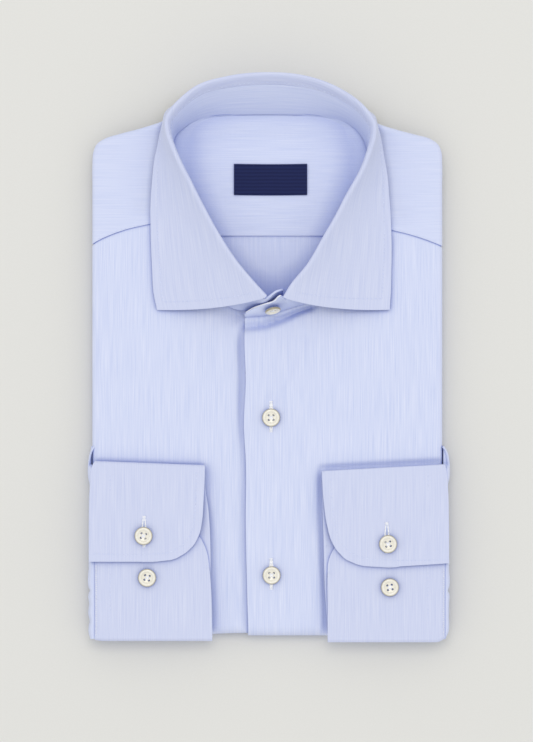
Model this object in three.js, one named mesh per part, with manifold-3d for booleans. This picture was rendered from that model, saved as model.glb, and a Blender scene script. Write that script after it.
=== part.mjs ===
// A long sleeve dress shirt, folded for sale and lying on its folded tails.
// Millimetres, +X to the right of somebody looking down at the fronts, +Y towards the collar, +Z up.
// The wearer's right front is on the -X side and carries the buttons, the left front laps over it.
import * as THREE from 'three';
import { mergeVertices } from 'three/addons/utils/BufferGeometryUtils.js';
import Module from 'manifold-3d';

const wasm = await Module();
wasm.setup();

// Walls and gaps
const CLOTH = 1.2;
const COLLAR_WALL = 1.5;
const CUFF_WALL = 1.4;
const LABEL_WALL = 0.8;
const GAP = 0.3;

// The folded stack: an upper half under the fronts and a lower half of folded tails, with a groove between
const HALF_WIDTH = 110.4;
const STACK_CENTRE_X = -1.1;
const STACK_HEIGHT = 15;
const HALF_HEIGHT = 6.4;
const BOTTOM_FOLD_Y = -168;
const TAIL_END_Y = 104;
const GROOVE_REACH = 5.5;
const EDGE_RADIUS = HALF_HEIGHT / 2;
const UPPER_MIDDLE = STACK_HEIGHT - EDGE_RADIUS;
const UPPER_LOW = STACK_HEIGHT - HALF_HEIGHT;
const TURN_HEIGHT = STACK_HEIGHT / 2;
const TURN_RADIUS = UPPER_MIDDLE - TURN_HEIGHT;
const CORE_DEPTH = CLOTH + GAP;
const CORE_CORNER = 3;
const UNDERLAP_DEPTH = CLOTH + GAP;
const EDGE_STEPS = 4;

// Buttons of 18 lignes
const BUTTON_RADIUS = 5.7;
const BUTTON_HEIGHT = 2.4;
const BUTTON_HOLE_RADIUS = 0.65;
const BUTTON_HOLE_OFFSET = 1.35;

const COLOURS = { cloth: 0xd2daf3, fall: 0xcbd2ec, inside: 0xcad2f0, button: 0xf5efe4, label: 0x20284f };

const { lerp, smoothstep, degToRad } = THREE.MathUtils;
const point = (x, y, z) => new THREE.Vector3(x, y, z);
const range = (count) => Array.from({ length: count }, (_, i) => i);

// A table's column at any key between its rows, in straight steps. The key column rises from row to row.
function read(table, key, value, column) {
  const last = table.length - 1;
  if (value <= table[0][key]) return table[0][column];
  if (value >= table[last][key]) return table[last][column];
  const i = table.findIndex((row) => row[key] > value);
  const [low, high] = [table[i - 1], table[i]];
  return lerp(low[column], high[column], (value - low[key]) / (high[key] - low[key]));
}

function signedVolume(positions, index) {
  const [a, b, c] = [point(0, 0, 0), point(0, 0, 0), point(0, 0, 0)];
  let sum = 0;
  for (let i = 0; i < index.length; i += 3) {
    [a, b, c].forEach((corner, k) => corner.fromArray(positions, 3 * index[i + k]));
    sum += a.dot(b.cross(c)) / 6;
  }
  return sum;
}

function closedGeometry(positions, index) {
  if (signedVolume(positions, index) < 0) index.reverse();
  const geometry = new THREE.BufferGeometry();
  geometry.setAttribute('position', new THREE.Float32BufferAttribute(positions, 3));
  geometry.setIndex(index);
  return geometry;
}

// The wall between two grids of points: its outer face, its inner face and the rim that joins them
function wallBetween(outer, inner) {
  const rows = outer.length;
  const columns = outer[0].length;
  const positions = [outer, inner].flat(2).flatMap((p) => [p.x, p.y, p.z]);
  const at = (face, i, j) => (face * rows + i) * columns + j;
  const index = [];
  const quad = (a, b, c, d) => index.push(a, b, c, a, c, d);
  const endRow = rows - 1;
  const endColumn = columns - 1;
  for (let i = 0; i < endRow; i++) {
    for (let j = 0; j < endColumn; j++) {
      quad(at(0, i, j), at(0, i, j + 1), at(0, i + 1, j + 1), at(0, i + 1, j));
      quad(at(1, i, j), at(1, i + 1, j), at(1, i + 1, j + 1), at(1, i, j + 1));
    }
    quad(at(0, i, 0), at(0, i + 1, 0), at(1, i + 1, 0), at(1, i, 0));
    quad(at(0, i, endColumn), at(1, i, endColumn), at(1, i + 1, endColumn), at(0, i + 1, endColumn));
  }
  for (let j = 0; j < endColumn; j++) {
    quad(at(0, 0, j), at(1, 0, j), at(1, 0, j + 1), at(0, 0, j + 1));
    quad(at(0, endRow, j), at(0, endRow, j + 1), at(1, endRow, j + 1), at(1, endRow, j));
  }
  return closedGeometry(positions, index);
}

// The same wall from the grid of its middle, half a thickness to each side
function wallAround(grid, thickness) {
  const clampRow = (i) => grid[Math.min(Math.max(i, 0), grid.length - 1)];
  const pick = (i, j) => clampRow(i)[Math.min(Math.max(j, 0), grid[0].length - 1)];
  const face = (side) => grid.map((row, i) => row.map((p, j) => {
    const along = pick(i + 1, j).clone().sub(pick(i - 1, j));
    const across = pick(i, j + 1).clone().sub(pick(i, j - 1));
    return p.clone().addScaledVector(along.cross(across).normalize(), (side * thickness) / 2);
  }));
  return wallBetween(face(1), face(-1));
}

function toSolid(geometry) {
  const bare = geometry.clone();
  bare.deleteAttribute('normal');
  bare.deleteAttribute('uv');
  const merged = mergeVertices(bare, 1e-4);
  return new wasm.Manifold(new wasm.Mesh({
    numProp: 3,
    vertProperties: new Float32Array(merged.attributes.position.array),
    triVerts: new Uint32Array(merged.index.array),
  }));
}

function toGeometry(solid) {
  const mesh = solid.getMesh();
  const geometry = new THREE.BufferGeometry();
  geometry.setAttribute('position', new THREE.BufferAttribute(new Float32Array(mesh.vertProperties), 3));
  geometry.setIndex(new THREE.BufferAttribute(new Uint32Array(mesh.triVerts), 1));
  return geometry;
}

const shirt = new THREE.Group();

function add(name, geometry, colour, roughness = 0.85) {
  const material = new THREE.MeshStandardMaterial({ color: colour, roughness, metalness: 0 });
  const mesh = new THREE.Mesh(geometry, material);
  mesh.name = name;
  shirt.add(mesh);
  return mesh;
}

// The neck seam in plan, from the underlap end of the band round the back to its overlap end
const NECK_SEAM = [
  { x: 9, y: 33.2 }, { x: 0, y: 30.4 }, { x: -14.5, y: 29.2 }, { x: -25, y: 33.2 }, { x: -37, y: 43.6 },
  { x: -46.5, y: 57 }, { x: -53, y: 73 }, { x: -57, y: 88 }, { x: -60, y: 104 }, { x: -61.4, y: 118 },
  { x: -61.4, y: 130 }, { x: -59.3, y: 139.8 }, { x: -54.2, y: 144.6 }, { x: -48.9, y: 148.4 },
  { x: -43.5, y: 150.8 }, { x: -36, y: 152.4 }, { x: -26.5, y: 153.2 }, { x: 0, y: 153.6 }, { x: 25.2, y: 153.2 },
  { x: 40.4, y: 151.2 }, { x: 49.2, y: 148.2 }, { x: 56.8, y: 142 }, { x: 61.2, y: 134.5 }, { x: 63.2, y: 124 },
  { x: 63.2, y: 112 }, { x: 61.6, y: 98 }, { x: 58.8, y: 84 }, { x: 54.2, y: 70 }, { x: 47.6, y: 56.6 },
  { x: 38.4, y: 44.6 }, { x: 28, y: 36.6 }, { x: 19.5, y: 33.4 }, { x: 10.4, y: 30.8 }, { x: -1, y: 27.4 },
  { x: -15, y: 26 },
];
const LEFT_NECK = NECK_SEAM.slice(1, 12);
const RIGHT_NECK = NECK_SEAM.slice(22, 34).reverse();

// The outer fold of the upper half over the shoulders, from one side seam of the yoke to the other.
// neck is the row of the neck seam that the yoke's cloth comes from, radius the fold's, under its reach below.
const SHOULDER_FOLD = [
  { x: -111.5, y: 71.2, neck: 7, radius: 3.2, under: 5 }, { x: -111.5, y: 90, neck: 7.5, radius: 3.2, under: 5 },
  { x: -111.5, y: 108, neck: 8, radius: 3.2, under: 5 }, { x: -111.5, y: 122, neck: 8.4, radius: 3.2, under: 5 },
  { x: -110.9, y: 129.6, neck: 8.8, radius: 3.2, under: 5 }, { x: -108.8, y: 134.6, neck: 9.1, radius: 3.2, under: 5 },
  { x: -104.2, y: 137.9, neck: 9.4, radius: 3.2, under: 6 }, { x: -94, y: 141.2, neck: 9.7, radius: 3.2, under: 9 },
  { x: -82, y: 144.4, neck: 10.1, radius: 3.2, under: 14 }, { x: -71, y: 147.8, neck: 10.5, radius: 3.2, under: 20 },
  { x: -60, y: 152, neck: 11.1, radius: 3.1, under: 28 }, { x: -49, y: 155, neck: 12.9, radius: 2.8, under: 36 },
  { x: -30, y: 156.4, neck: 15.5, radius: 2, under: 42 }, { x: -10, y: 156.8, neck: 16.6, radius: 1.9, under: 44 },
  { x: 10, y: 156.8, neck: 17.4, radius: 1.9, under: 44 }, { x: 30, y: 156.4, neck: 18.4, radius: 2, under: 42 },
  { x: 49, y: 155, neck: 20, radius: 2.8, under: 36 }, { x: 60, y: 151.6, neck: 21.1, radius: 3.1, under: 28 },
  { x: 70, y: 147.2, neck: 21.9, radius: 3.2, under: 20 }, { x: 80, y: 144, neck: 22.3, radius: 3.2, under: 14 },
  { x: 92, y: 140.8, neck: 22.8, radius: 3.2, under: 9 }, { x: 102, y: 137.9, neck: 23.2, radius: 3.2, under: 6 },
  { x: 106.8, y: 134.4, neck: 23.6, radius: 3.2, under: 5 }, { x: 108.8, y: 129.6, neck: 23.9, radius: 3.2, under: 5 },
  { x: 109.3, y: 122, neck: 24.2, radius: 3.2, under: 5 }, { x: 109.3, y: 108, neck: 24.6, radius: 3.2, under: 5 },
  { x: 109.3, y: 90, neck: 25.1, radius: 3.2, under: 5 }, { x: 109.3, y: 69.9, neck: 26, radius: 3.2, under: 5 },
];

// The forward shoulder seams, where the fronts meet the yoke
const YOKE_SEAM = [
  { x: -111.5, y: 70.9 }, { x: -105.5, y: 74.1 }, { x: -98.3, y: 77.2 }, { x: -90.7, y: 79.8 }, { x: -75, y: 83.5 },
  { x: -57, y: 88 }, { x: 58.8, y: 84.4 }, { x: 76.9, y: 79.8 }, { x: 87.6, y: 77.2 }, { x: 97.7, y: 74.1 },
  { x: 109.4, y: 69.6 },
];

// The front edge of the overlap, from the bottom fold to the neck
const OVERLAP_EDGE = [
  { y: -176, x: -13 }, { y: -139.5, x: -14 }, { y: -104, x: -14.7 }, { y: -64.5, x: -14.7 }, { y: -45, x: -15.8 },
  { y: -12.9, x: -14.7 }, { y: 11, x: -15.5 }, { y: 25.4, x: -15.2 },
];
const UNDERLAP_EDGE_X = 14;

// The hidden layers

// A flat layer of folded cloth: its outline in plan, running anticlockwise, with a fully rounded edge
function foldedLayer(outline, low, high) {
  const steps = EDGE_STEPS;
  const radius = (high - low) / 2;
  const count = outline.length;
  const outward = outline.map((p, i) => {
    const ahead = outline[(i + 1) % count];
    const behind = outline[(i + count - 1) % count];
    return new THREE.Vector2(ahead.y - behind.y, behind.x - ahead.x).normalize();
  });
  const rings = range(steps + 1).map((step) => {
    const angle = degToRad(-90 + (180 * step) / steps);
    const inset = radius * (1 - Math.cos(angle));
    return outline.map((p, i) => point(
      p.x - outward[i].x * inset, p.y - outward[i].y * inset, low + radius * (1 + Math.sin(angle)),
    ));
  });
  const positions = rings.flat().flatMap((p) => [p.x, p.y, p.z]);
  const index = [];
  for (let k = 0; k < steps; k++) {
    for (let i = 0; i < count; i++) {
      const [a, b] = [k * count + i, k * count + ((i + 1) % count)];
      index.push(a, b, b + count, a, b + count, a + count);
    }
  }
  for (const ring of [0, steps]) {
    const flat = rings[ring].map((p) => new THREE.Vector2(p.x, p.y));
    for (const [a, b, c] of THREE.ShapeUtils.triangulateShape(flat, [])) {
      const corners = ring === 0 ? [a, c, b] : [a, b, c];
      index.push(...corners.map((corner) => corner + ring * count));
    }
  }
  return closedGeometry(positions, index);
}

// A straight-sided block from an outline in plan, for cutting and joining
function block(outline, low, high) {
  const shape = new THREE.Shape(outline.map((p) => new THREE.Vector2(p.x, p.y)));
  return new THREE.ExtrudeGeometry(shape, { depth: high - low, bevelEnabled: false }).translate(0, 0, low);
}

// A closed outline in plan with round corners: two sides, a lower end and the rows of its upper end
function layerOutline(left, right, bottom, cornerRadius, upperEnd) {
  const corner = (x, y, from) => range(4).map((k) => {
    const angle = degToRad(from + 30 * k);
    return { x: x + cornerRadius * Math.cos(angle), y: y + cornerRadius * Math.sin(angle) };
  });
  return [
    ...corner(left + cornerRadius, bottom + cornerRadius, 180),
    ...corner(right - cornerRadius, bottom + cornerRadius, 270),
    ...upperEnd,
  ];
}

// The layers of the core: the middle one and the spine that joins all of them stand back from the sides
const MIDDLE_LAYER = { inset: 3, endY: 124 };
const SPINE = { inset: 11, endY: TAIL_END_Y - 6 };
const LOWEST_INNER_Y = BOTTOM_FOLD_Y + 10;

// The layers give way under the underlap, which lies deeper than the overlap: by this share of its depth
const RELIEF = [{ x: -62, deep: 0 }, { x: -18, deep: 1 }, { x: 18, deep: 1 }, { x: 24, deep: 0 }];
const NECK_FRONT = { x: 1, y: 27 };
const BEHIND_NECK = { x: 56, y: 170 };

function foldedBody() {
  const left = STACK_CENTRE_X - HALF_WIDTH + CORE_DEPTH;
  const right = STACK_CENTRE_X + HALF_WIDTH - CORE_DEPTH;
  const shoulders = SHOULDER_FOLD.slice(1, -1).reverse().map((row, i, rows) => {
    const ahead = rows[Math.min(i + 1, rows.length - 1)];
    const behind = rows[Math.max(i - 1, 0)];
    const outward = new THREE.Vector2(ahead.y - behind.y, behind.x - ahead.x).normalize();
    return { x: row.x - outward.x * CORE_DEPTH, y: row.y - outward.y * CORE_DEPTH };
  });
  const coreEdge = EDGE_RADIUS - CORE_DEPTH;
  const bottom = BOTTOM_FOLD_Y - coreEdge + UNDERLAP_DEPTH;
  const upper = layerOutline(left, right, bottom, CORE_CORNER, shoulders);
  const inner = (inset, lowY, endY) => layerOutline(
    left + inset, right - inset, lowY, CORE_CORNER, [{ x: right - inset, y: endY }, { x: left + inset, y: endY }],
  );
  const lower = inner(0, bottom, TAIL_END_Y);
  const middle = inner(MIDDLE_LAYER.inset, LOWEST_INNER_Y, MIDDLE_LAYER.endY);
  const spine = inner(SPINE.inset, LOWEST_INNER_Y, SPINE.endY);
  const low = UPPER_LOW + CORE_DEPTH;
  const layers = [
    foldedLayer(upper, low, STACK_HEIGHT - CORE_DEPTH),
    foldedLayer(lower, CORE_DEPTH, HALF_HEIGHT - CORE_DEPTH),
    foldedLayer(middle, HALF_HEIGHT + GAP, UPPER_LOW - GAP),
    block(spine, HALF_HEIGHT / 2, UPPER_MIDDLE),
  ];
  const joined = layers.map(toSolid).reduce((whole, layer) => whole.add(layer));

  const neck = NECK_SEAM.slice(2, 33);
  const behind = [{ x: -BEHIND_NECK.x, y: BEHIND_NECK.y }, BEHIND_NECK];
  const opening = block([NECK_FRONT, ...neck.slice(0, 11), ...behind, ...neck.slice(21)].reverse(), low, 2 * STACK_HEIGHT);
  const relief = (from, to) => {
    const edge = RELIEF.map(({ x, deep }) => new THREE.Vector2(x, lerp(from, to, deep)));
    const ends = [edge[edge.length - 1], edge[0]].map((end) => new THREE.Vector2(end.x, 2 * from - to));
    const profile = new THREE.Shape([...edge, ...ends]);
    const depth = 4 * HALF_WIDTH;
    const cut = new THREE.ExtrudeGeometry(profile, { depth, bevelEnabled: false });
    return cut.rotateX(degToRad(90)).translate(0, depth / 2, 0);
  };
  const top = STACK_HEIGHT - CORE_DEPTH;
  return toGeometry(joined
    .subtract(toSolid(opening))
    .subtract(toSolid(relief(top, top - UNDERLAP_DEPTH)))
    .subtract(toSolid(relief(CORE_DEPTH, CORE_DEPTH + UNDERLAP_DEPTH))));
}
add('folded_body', foldedBody(), COLOURS.cloth);

// The fronts

// The cloth of a front runs down the top, round the bottom fold and back along the underside.
// x is the place across, edgeAngle turns the point round the side fold, under slides it into the groove.
const EDGE_ANGLES = [60, 30, 0, -30, -60, -90];
const TURN_STEPS = 6;
const FRONT_COLUMNS = [0, 0.08, 0.2, 0.35, 0.5, 0.75, 1];
const UNDER_ROWS = [TAIL_END_Y, 40, -45, -104];
const OVER_ROWS = [-139.5, -104, -64.5, -45, -12.9, 11, 22];

function sectionPoints(from, side, depth, columns) {
  const radius = EDGE_RADIUS;
  const turnX = STACK_CENTRE_X + side * (HALF_WIDTH - radius);
  const flat = columns.map((share) => {
    const x = lerp(from, turnX, share);
    return { x, v: radius - depth(x) };
  });
  const out = radius - depth(turnX);
  const round = EDGE_ANGLES.map((angle) => ({
    x: turnX + side * out * Math.cos(degToRad(angle)), v: out * Math.sin(degToRad(angle)),
  }));
  return [...flat, ...round, { x: turnX - side * GROOVE_REACH, v: -out }];
}

function frontPanel(side, neck, edgeX, baseDepth) {
  const neckTop = neck[neck.length - 1];
  const along = [];
  for (const y of UNDER_ROWS) along.push({ under: y });
  for (const step of range(TURN_STEPS + 1)) along.push({ turn: 180 - (180 * step) / TURN_STEPS });
  for (const y of OVER_ROWS) along.push({ over: y });
  for (const row of neck) along.push(row);

  const sheet = (extra) => along.map((stop) => {
    const depth = (x) => baseDepth(x) + extra;
    const startX = stop.x ?? edgeX(stop.under ?? stop.over ?? BOTTOM_FOLD_Y);
    return sectionPoints(startX, side, depth, FRONT_COLUMNS).map(({ x, v }) => {
      if (stop.under !== undefined) return point(x, stop.under, TURN_HEIGHT - TURN_RADIUS - v);
      if (stop.turn !== undefined) {
        const angle = degToRad(stop.turn);
        const reach = TURN_RADIUS + v;
        return point(x, BOTTOM_FOLD_Y - reach * Math.sin(angle), TURN_HEIGHT + reach * Math.cos(angle));
      }
      if (stop.over !== undefined) return point(x, stop.over, UPPER_MIDDLE + v);
      const seamY = read(YOKE_SEAM, 'x', x, 'y') - GAP;
      const start = neck[0].y;
      const y = lerp(start, seamY, (stop.y - start) / (neckTop.y - GAP - start));
      return point(x, Math.min(y, seamY), UPPER_MIDDLE + v);
    });
  });
  return wallBetween(sheet(0), sheet(CLOTH));
}

const underlapDepth = (x) => UNDERLAP_DEPTH * smoothstep(x, -60, -18);
const leftNeckRows = [{ x: UNDERLAP_EDGE_X - 2, y: 26.2 }, ...LEFT_NECK.slice(1, 7)];
const rightNeckRows = RIGHT_NECK.slice(0, 8);
add('front_right', frontPanel(-1, leftNeckRows, () => UNDERLAP_EDGE_X, underlapDepth), COLOURS.cloth);
add('front_left', frontPanel(1, rightNeckRows, (y) => read(OVERLAP_EDGE, 'y', y, 'x'), () => 0), COLOURS.cloth);

// The yokes, the back and the label

function neckAt(row) {
  const i = Math.min(Math.floor(row), NECK_SEAM.length - 2);
  const [a, b] = [NECK_SEAM[i], NECK_SEAM[i + 1]];
  return new THREE.Vector2(lerp(a.x, b.x, row - i), lerp(a.y, b.y, row - i));
}

const NECK_CENTRE = new THREE.Vector2(0, 100);
const YOKE_COLUMNS = [0, 0.2, 0.45, 0.7];
const FOLD_ANGLES = [90, 60, 30, 0, -30, -60, -90];
// Where the cloth reaches further under than the first of these, it runs towards the front, and not inwards
const REACH_TURN = { low: 6, high: 14 };

function outerYoke() {
  const endRow = SHOULDER_FOLD.length - 1;
  const sheet = (depth) => SHOULDER_FOLD.map((row, i) => {
    const ahead = SHOULDER_FOLD[Math.min(i + 1, SHOULDER_FOLD.length - 1)];
    const behind = SHOULDER_FOLD[Math.max(i - 1, 0)];
    const outward = new THREE.Vector2(behind.y - ahead.y, ahead.x - behind.x).normalize();
    const neck = neckAt(row.neck);
    const centre = new THREE.Vector2(row.x, row.y).addScaledVector(outward, -row.radius);
    const middle = UPPER_LOW + row.radius;
    const out = row.radius - depth;
    const inside = neck.clone().addScaledVector(neck.clone().sub(NECK_CENTRE).normalize(), GAP);
    const top = YOKE_COLUMNS.map((share) => {
      const p = inside.clone().lerp(centre, share);
      return point(p.x, p.y, middle + out);
    });
    const round = FOLD_ANGLES.map((angle) => {
      const turn = degToRad(angle);
      const p = centre.clone().addScaledVector(outward, out * Math.cos(turn));
      return point(p.x, p.y, middle + out * Math.sin(turn));
    });
    const forward = smoothstep(row.under, REACH_TURN.low, REACH_TURN.high);
    const inward = outward.clone().negate().lerp(new THREE.Vector2(0, -1), forward).normalize();
    const end = centre.clone().addScaledVector(inward, row.under);
    const line = [...top, ...round, point(end.x, end.y, middle - out)];
    if (i > 0 && i < endRow) return line;
    return line.map((p) => point(p.x, read(YOKE_SEAM, 'x', p.x, 'y') + GAP, p.z));
  });
  return wallBetween(sheet(0), sheet(CLOTH));
}
add('yoke_outer', outerYoke(), COLOURS.cloth);

const FLOOR = UPPER_LOW + CORE_DEPTH + CLOTH;
const YOKE_END_Y = 77.5;
const INNER_YOKE_ROWS = [
  { y: YOKE_END_Y + GAP, rise: 0 }, { y: 95, rise: 0 }, { y: 112, rise: 0 }, { y: 126, rise: 0 },
  { y: 136, rise: 0.1 }, { y: 143, rise: 0.3 }, { y: 147, rise: 0.7 }, { y: 150.2, rise: 1 },
];
const BACK_ROWS = [33, 42, 55, 68, YOKE_END_Y].map((y) => ({ y, rise: 0 }));
const PANEL_COLUMNS = [0, 0.12, 0.3, 0.5, 0.7, 0.88, 1];
const NECK_CLEARANCE = 3 * GAP;

// A panel on the floor of the neck opening, as wide as the opening is at each of its rows
function neckPanel(rows) {
  const leftSide = NECK_SEAM.slice(2, 18);
  const rightSide = NECK_SEAM.slice(17, 33).reverse();
  const sheet = (drop) => rows.map(({ y, rise }) => {
    const left = read(leftSide, 'y', y, 'x') + NECK_CLEARANCE;
    const right = read(rightSide, 'y', y, 'x') - NECK_CLEARANCE;
    return PANEL_COLUMNS.map((share) => point(lerp(left, right, share), y, FLOOR + rise - drop));
  });
  return wallBetween(sheet(0), sheet(CLOTH));
}
add('yoke_inner', neckPanel(INNER_YOKE_ROWS), COLOURS.inside);
add('back_panel', neckPanel(BACK_ROWS), COLOURS.inside);

const LABEL = { left: -22.1, right: 24, low: 102.6, high: 122.2, rows: 2, columns: 6 };

function label() {
  const sheet = (lift) => range(LABEL.rows + 1).map((i) => range(LABEL.columns + 1).map((j) => point(
    lerp(LABEL.left, LABEL.right, j / LABEL.columns), lerp(LABEL.low, LABEL.high, i / LABEL.rows), FLOOR + GAP + lift,
  )));
  return wallBetween(sheet(LABEL_WALL), sheet(0));
}
add('label', label(), COLOURS.label, 0.75);

// The collar

// A row for each section of the collar from the wearer's right point round the back to the left point:
// the row of the neck seam it stands on and that seam's height, the crest of its roll, and the fall's edge.
// bend pulls the fall's line in plan out of the straight towards the neck seam.
const COLLAR = [
  { neck: 1.45, base: 15.9, rollX: -1.8, rollY: 38.7, rollZ: 37.6, edgeX: -70.5, edgeY: 30, edgeZ: 16.2, bend: 5 },
  { neck: 2.6, base: 15.9, rollX: -9.2, rollY: 46.9, rollZ: 37.8, edgeX: -72.6, edgeY: 40, edgeZ: 16.2, bend: 3 },
  { neck: 3.8, base: 15.9, rollX: -19.6, rollY: 59.4, rollZ: 38.4, edgeX: -73.6, edgeY: 56, edgeZ: 16.2, bend: 1 },
  { neck: 5.1, base: 15.9, rollX: -32.3, rollY: 78.9, rollZ: 39, edgeX: -74.4, edgeY: 76, edgeZ: 16.2, bend: 0 },
  { neck: 6.2, base: 15.9, rollX: -41.1, rollY: 95.2, rollZ: 39.6, edgeX: -74.6, edgeY: 94, edgeZ: 16.2, bend: 0 },
  { neck: 7.4, base: 15.9, rollX: -49.5, rollY: 112.1, rollZ: 40.2, edgeX: -73.6, edgeY: 110, edgeZ: 16.2, bend: 0 },
  { neck: 8.3, base: 15.9, rollX: -54.8, rollY: 122.7, rollZ: 40.6, edgeX: -72.2, edgeY: 123.5, edgeZ: 16.2, bend: 0 },
  { neck: 9.2, base: 15.9, rollX: -59.5, rollY: 133.8, rollZ: 41, edgeX: -70, edgeY: 133.5, edgeZ: 16.3, bend: 0 },
  { neck: 10.2, base: 15.9, rollX: -61.9, rollY: 142, rollZ: 41.3, edgeX: -68.3, edgeY: 141.6, edgeZ: 16.3, bend: 0 },
  { neck: 11, base: 15.9, rollX: -62.2, rollY: 147.6, rollZ: 41.6, edgeX: -66.8, edgeY: 147.4, edgeZ: 16.1, bend: 0 },
  { neck: 11.9, base: 15.8, rollX: -59.4, rollY: 152.6, rollZ: 42, edgeX: -65.6, edgeY: 153.6, edgeZ: 12, bend: 0 },
  { neck: 13, base: 15, rollX: -52.4, rollY: 160, rollZ: 42.4, edgeX: -59, edgeY: 159.6, edgeZ: 8, bend: 0 },
  { neck: 14.2, base: 14.2, rollX: -43.9, rollY: 166.4, rollZ: 42.7, edgeX: -48.4, edgeY: 165.4, edgeZ: 6, bend: 0 },
  { neck: 15.9, base: 13.6, rollX: -25.6, rollY: 172, rollZ: 43, edgeX: -27.4, edgeY: 170.4, edgeZ: 5, bend: 0 },
  { neck: 17, base: 13.5, rollX: -2, rollY: 174.4, rollZ: 43, edgeX: -2, edgeY: 172.6, edgeZ: 5, bend: 0 },
  { neck: 17.9, base: 13.6, rollX: 20.6, rollY: 172.6, rollZ: 43, edgeX: 21.8, edgeY: 170.8, edgeZ: 5, bend: 0 },
  { neck: 18.7, base: 13.8, rollX: 33.8, rollY: 168.9, rollZ: 42.8, edgeX: 36.6, edgeY: 167.4, edgeZ: 5.4, bend: 0 },
  { neck: 19.5, base: 14.4, rollX: 45.3, rollY: 163.4, rollZ: 42.6, edgeX: 49.6, edgeY: 162.2, edgeZ: 6, bend: 0 },
  { neck: 20.3, base: 15.2, rollX: 54.5, rollY: 157, rollZ: 42.3, edgeX: 60, edgeY: 157, edgeZ: 8, bend: 0 },
  { neck: 21, base: 15.8, rollX: 60.8, rollY: 150.2, rollZ: 42, edgeX: 66.8, edgeY: 151.6, edgeZ: 12, bend: 0 },
  { neck: 21.8, base: 15.9, rollX: 63.8, rollY: 145, rollZ: 41.6, edgeX: 68, edgeY: 146, edgeZ: 16.1, bend: 0 },
  { neck: 22.5, base: 15.9, rollX: 63.8, rollY: 138.6, rollZ: 41.3, edgeX: 70, edgeY: 138.6, edgeZ: 16.3, bend: 0 },
  { neck: 23.3, base: 15.9, rollX: 61.4, rollY: 129.6, rollZ: 41, edgeX: 72, edgeY: 128, edgeZ: 16.3, bend: 0 },
  { neck: 24.2, base: 15.9, rollX: 57.4, rollY: 118.7, rollZ: 40.6, edgeX: 74.2, edgeY: 116, edgeZ: 16.2, bend: 0 },
  { neck: 25.3, base: 15.9, rollX: 48, rollY: 101.5, rollZ: 40, edgeX: 75.6, edgeY: 101, edgeZ: 16.2, bend: 0 },
  { neck: 26.3, base: 15.9, rollX: 41, rollY: 87.8, rollZ: 39.6, edgeX: 76.6, edgeY: 87, edgeZ: 16.2, bend: 0 },
  { neck: 27.3, base: 15.9, rollX: 34.2, rollY: 75.9, rollZ: 39, edgeX: 77.1, edgeY: 73, edgeZ: 16.2, bend: 0 },
  { neck: 28.6, base: 15.9, rollX: 24.2, rollY: 58.5, rollZ: 38.4, edgeX: 77, edgeY: 57, edgeZ: 16.2, bend: 1 },
  { neck: 30.1, base: 15.9, rollX: 13.7, rollY: 45.4, rollZ: 37.8, edgeX: 76.6, edgeY: 41, edgeZ: 16.2, bend: 3 },
  { neck: 31.4, base: 15.9, rollX: 9.2, rollY: 37.8, rollZ: 37.4, edgeX: 75.9, edgeY: 30.1, edgeZ: 16.2, bend: 5 },
];
const STAND_SHARE = 0.82;
const BAND_SHARES = [0, 0.25, 0.5, 0.75, 1];
// The leaf's roll: where it starts to turn below the roll line, its crest above it and its far side
const ROLL = { start: 2.2, crest: 1.1, out: 2.6, over: 0.4 };
// The leaf's fall: its steps, how far along its curve is drawn towards the bend, and how it flattens out
const FALL_SHARES = [0.1, 0.25, 0.42, 0.6, 0.8, 1];
const FALL_BEND = 0.42;
const FALL_FLATTENING = 1.35;

const COLLAR_SECTIONS = COLLAR.map((row, i) => {
  const ahead = COLLAR[Math.min(i + 1, COLLAR.length - 1)];
  const behind = COLLAR[Math.max(i - 1, 0)];
  const seam = neckAt(row.neck);
  return {
    seam: point(seam.x, seam.y, row.base),
    roll: point(row.rollX, row.rollY, row.rollZ),
    edge: point(row.edgeX, row.edgeY, row.edgeZ),
    outward: point(behind.rollY - ahead.rollY, ahead.rollX - behind.rollX, 0).normalize(),
    bend: row.bend,
  };
});

// The band goes on past the roll at both ends: under at the wearer's right, over at the left.
// bulge is how far the middle of the band's height stands out of the straight line from seam to top.
const UNDERLAP_END = [
  { seam: point(9, 34.2, 15.9), top: point(8.6, 42.6, 32), bulge: 0 },
  { seam: point(3, 32.2, 15.9), top: point(5, 41.6, 33.6), bulge: 0 },
];
const OVERLAP_END = [
  { seam: point(10.4, 30.8, 15.9), top: point(7, 38.6, 34), bulge: 0.6 },
  { seam: point(4, 28.8, 15.9), top: point(3, 35.4, 31), bulge: 1.1 },
  { seam: point(-3, 27, 15.9), top: point(-4, 33.2, 29), bulge: 1.1 },
  { seam: point(-9.6, 26.4, 15.9), top: point(-10.2, 31, 25.6), bulge: 0.8 },
  { seam: point(-15.2, 26, 16.2), top: point(-15.4, 27.8, 19.2), bulge: 0 },
];

const BULGE_DIRECTION = point(0, -0.87, 0.5);

function bandPoint({ seam, top, bulge }, share) {
  return seam.clone().lerp(top, share).addScaledVector(BULGE_DIRECTION, bulge * Math.sin(Math.PI * share));
}

function collarStand() {
  const sections = COLLAR_SECTIONS.map(({ seam, roll }) => (
    { seam, top: seam.clone().lerp(roll, STAND_SHARE), bulge: 0 }
  ));
  const rows = [...UNDERLAP_END, ...sections, ...OVERLAP_END];
  return wallAround(rows.map((row) => BAND_SHARES.map((share) => bandPoint(row, share))), COLLAR_WALL);
}
add('collar_stand', collarStand(), COLOURS.inside);

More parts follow.
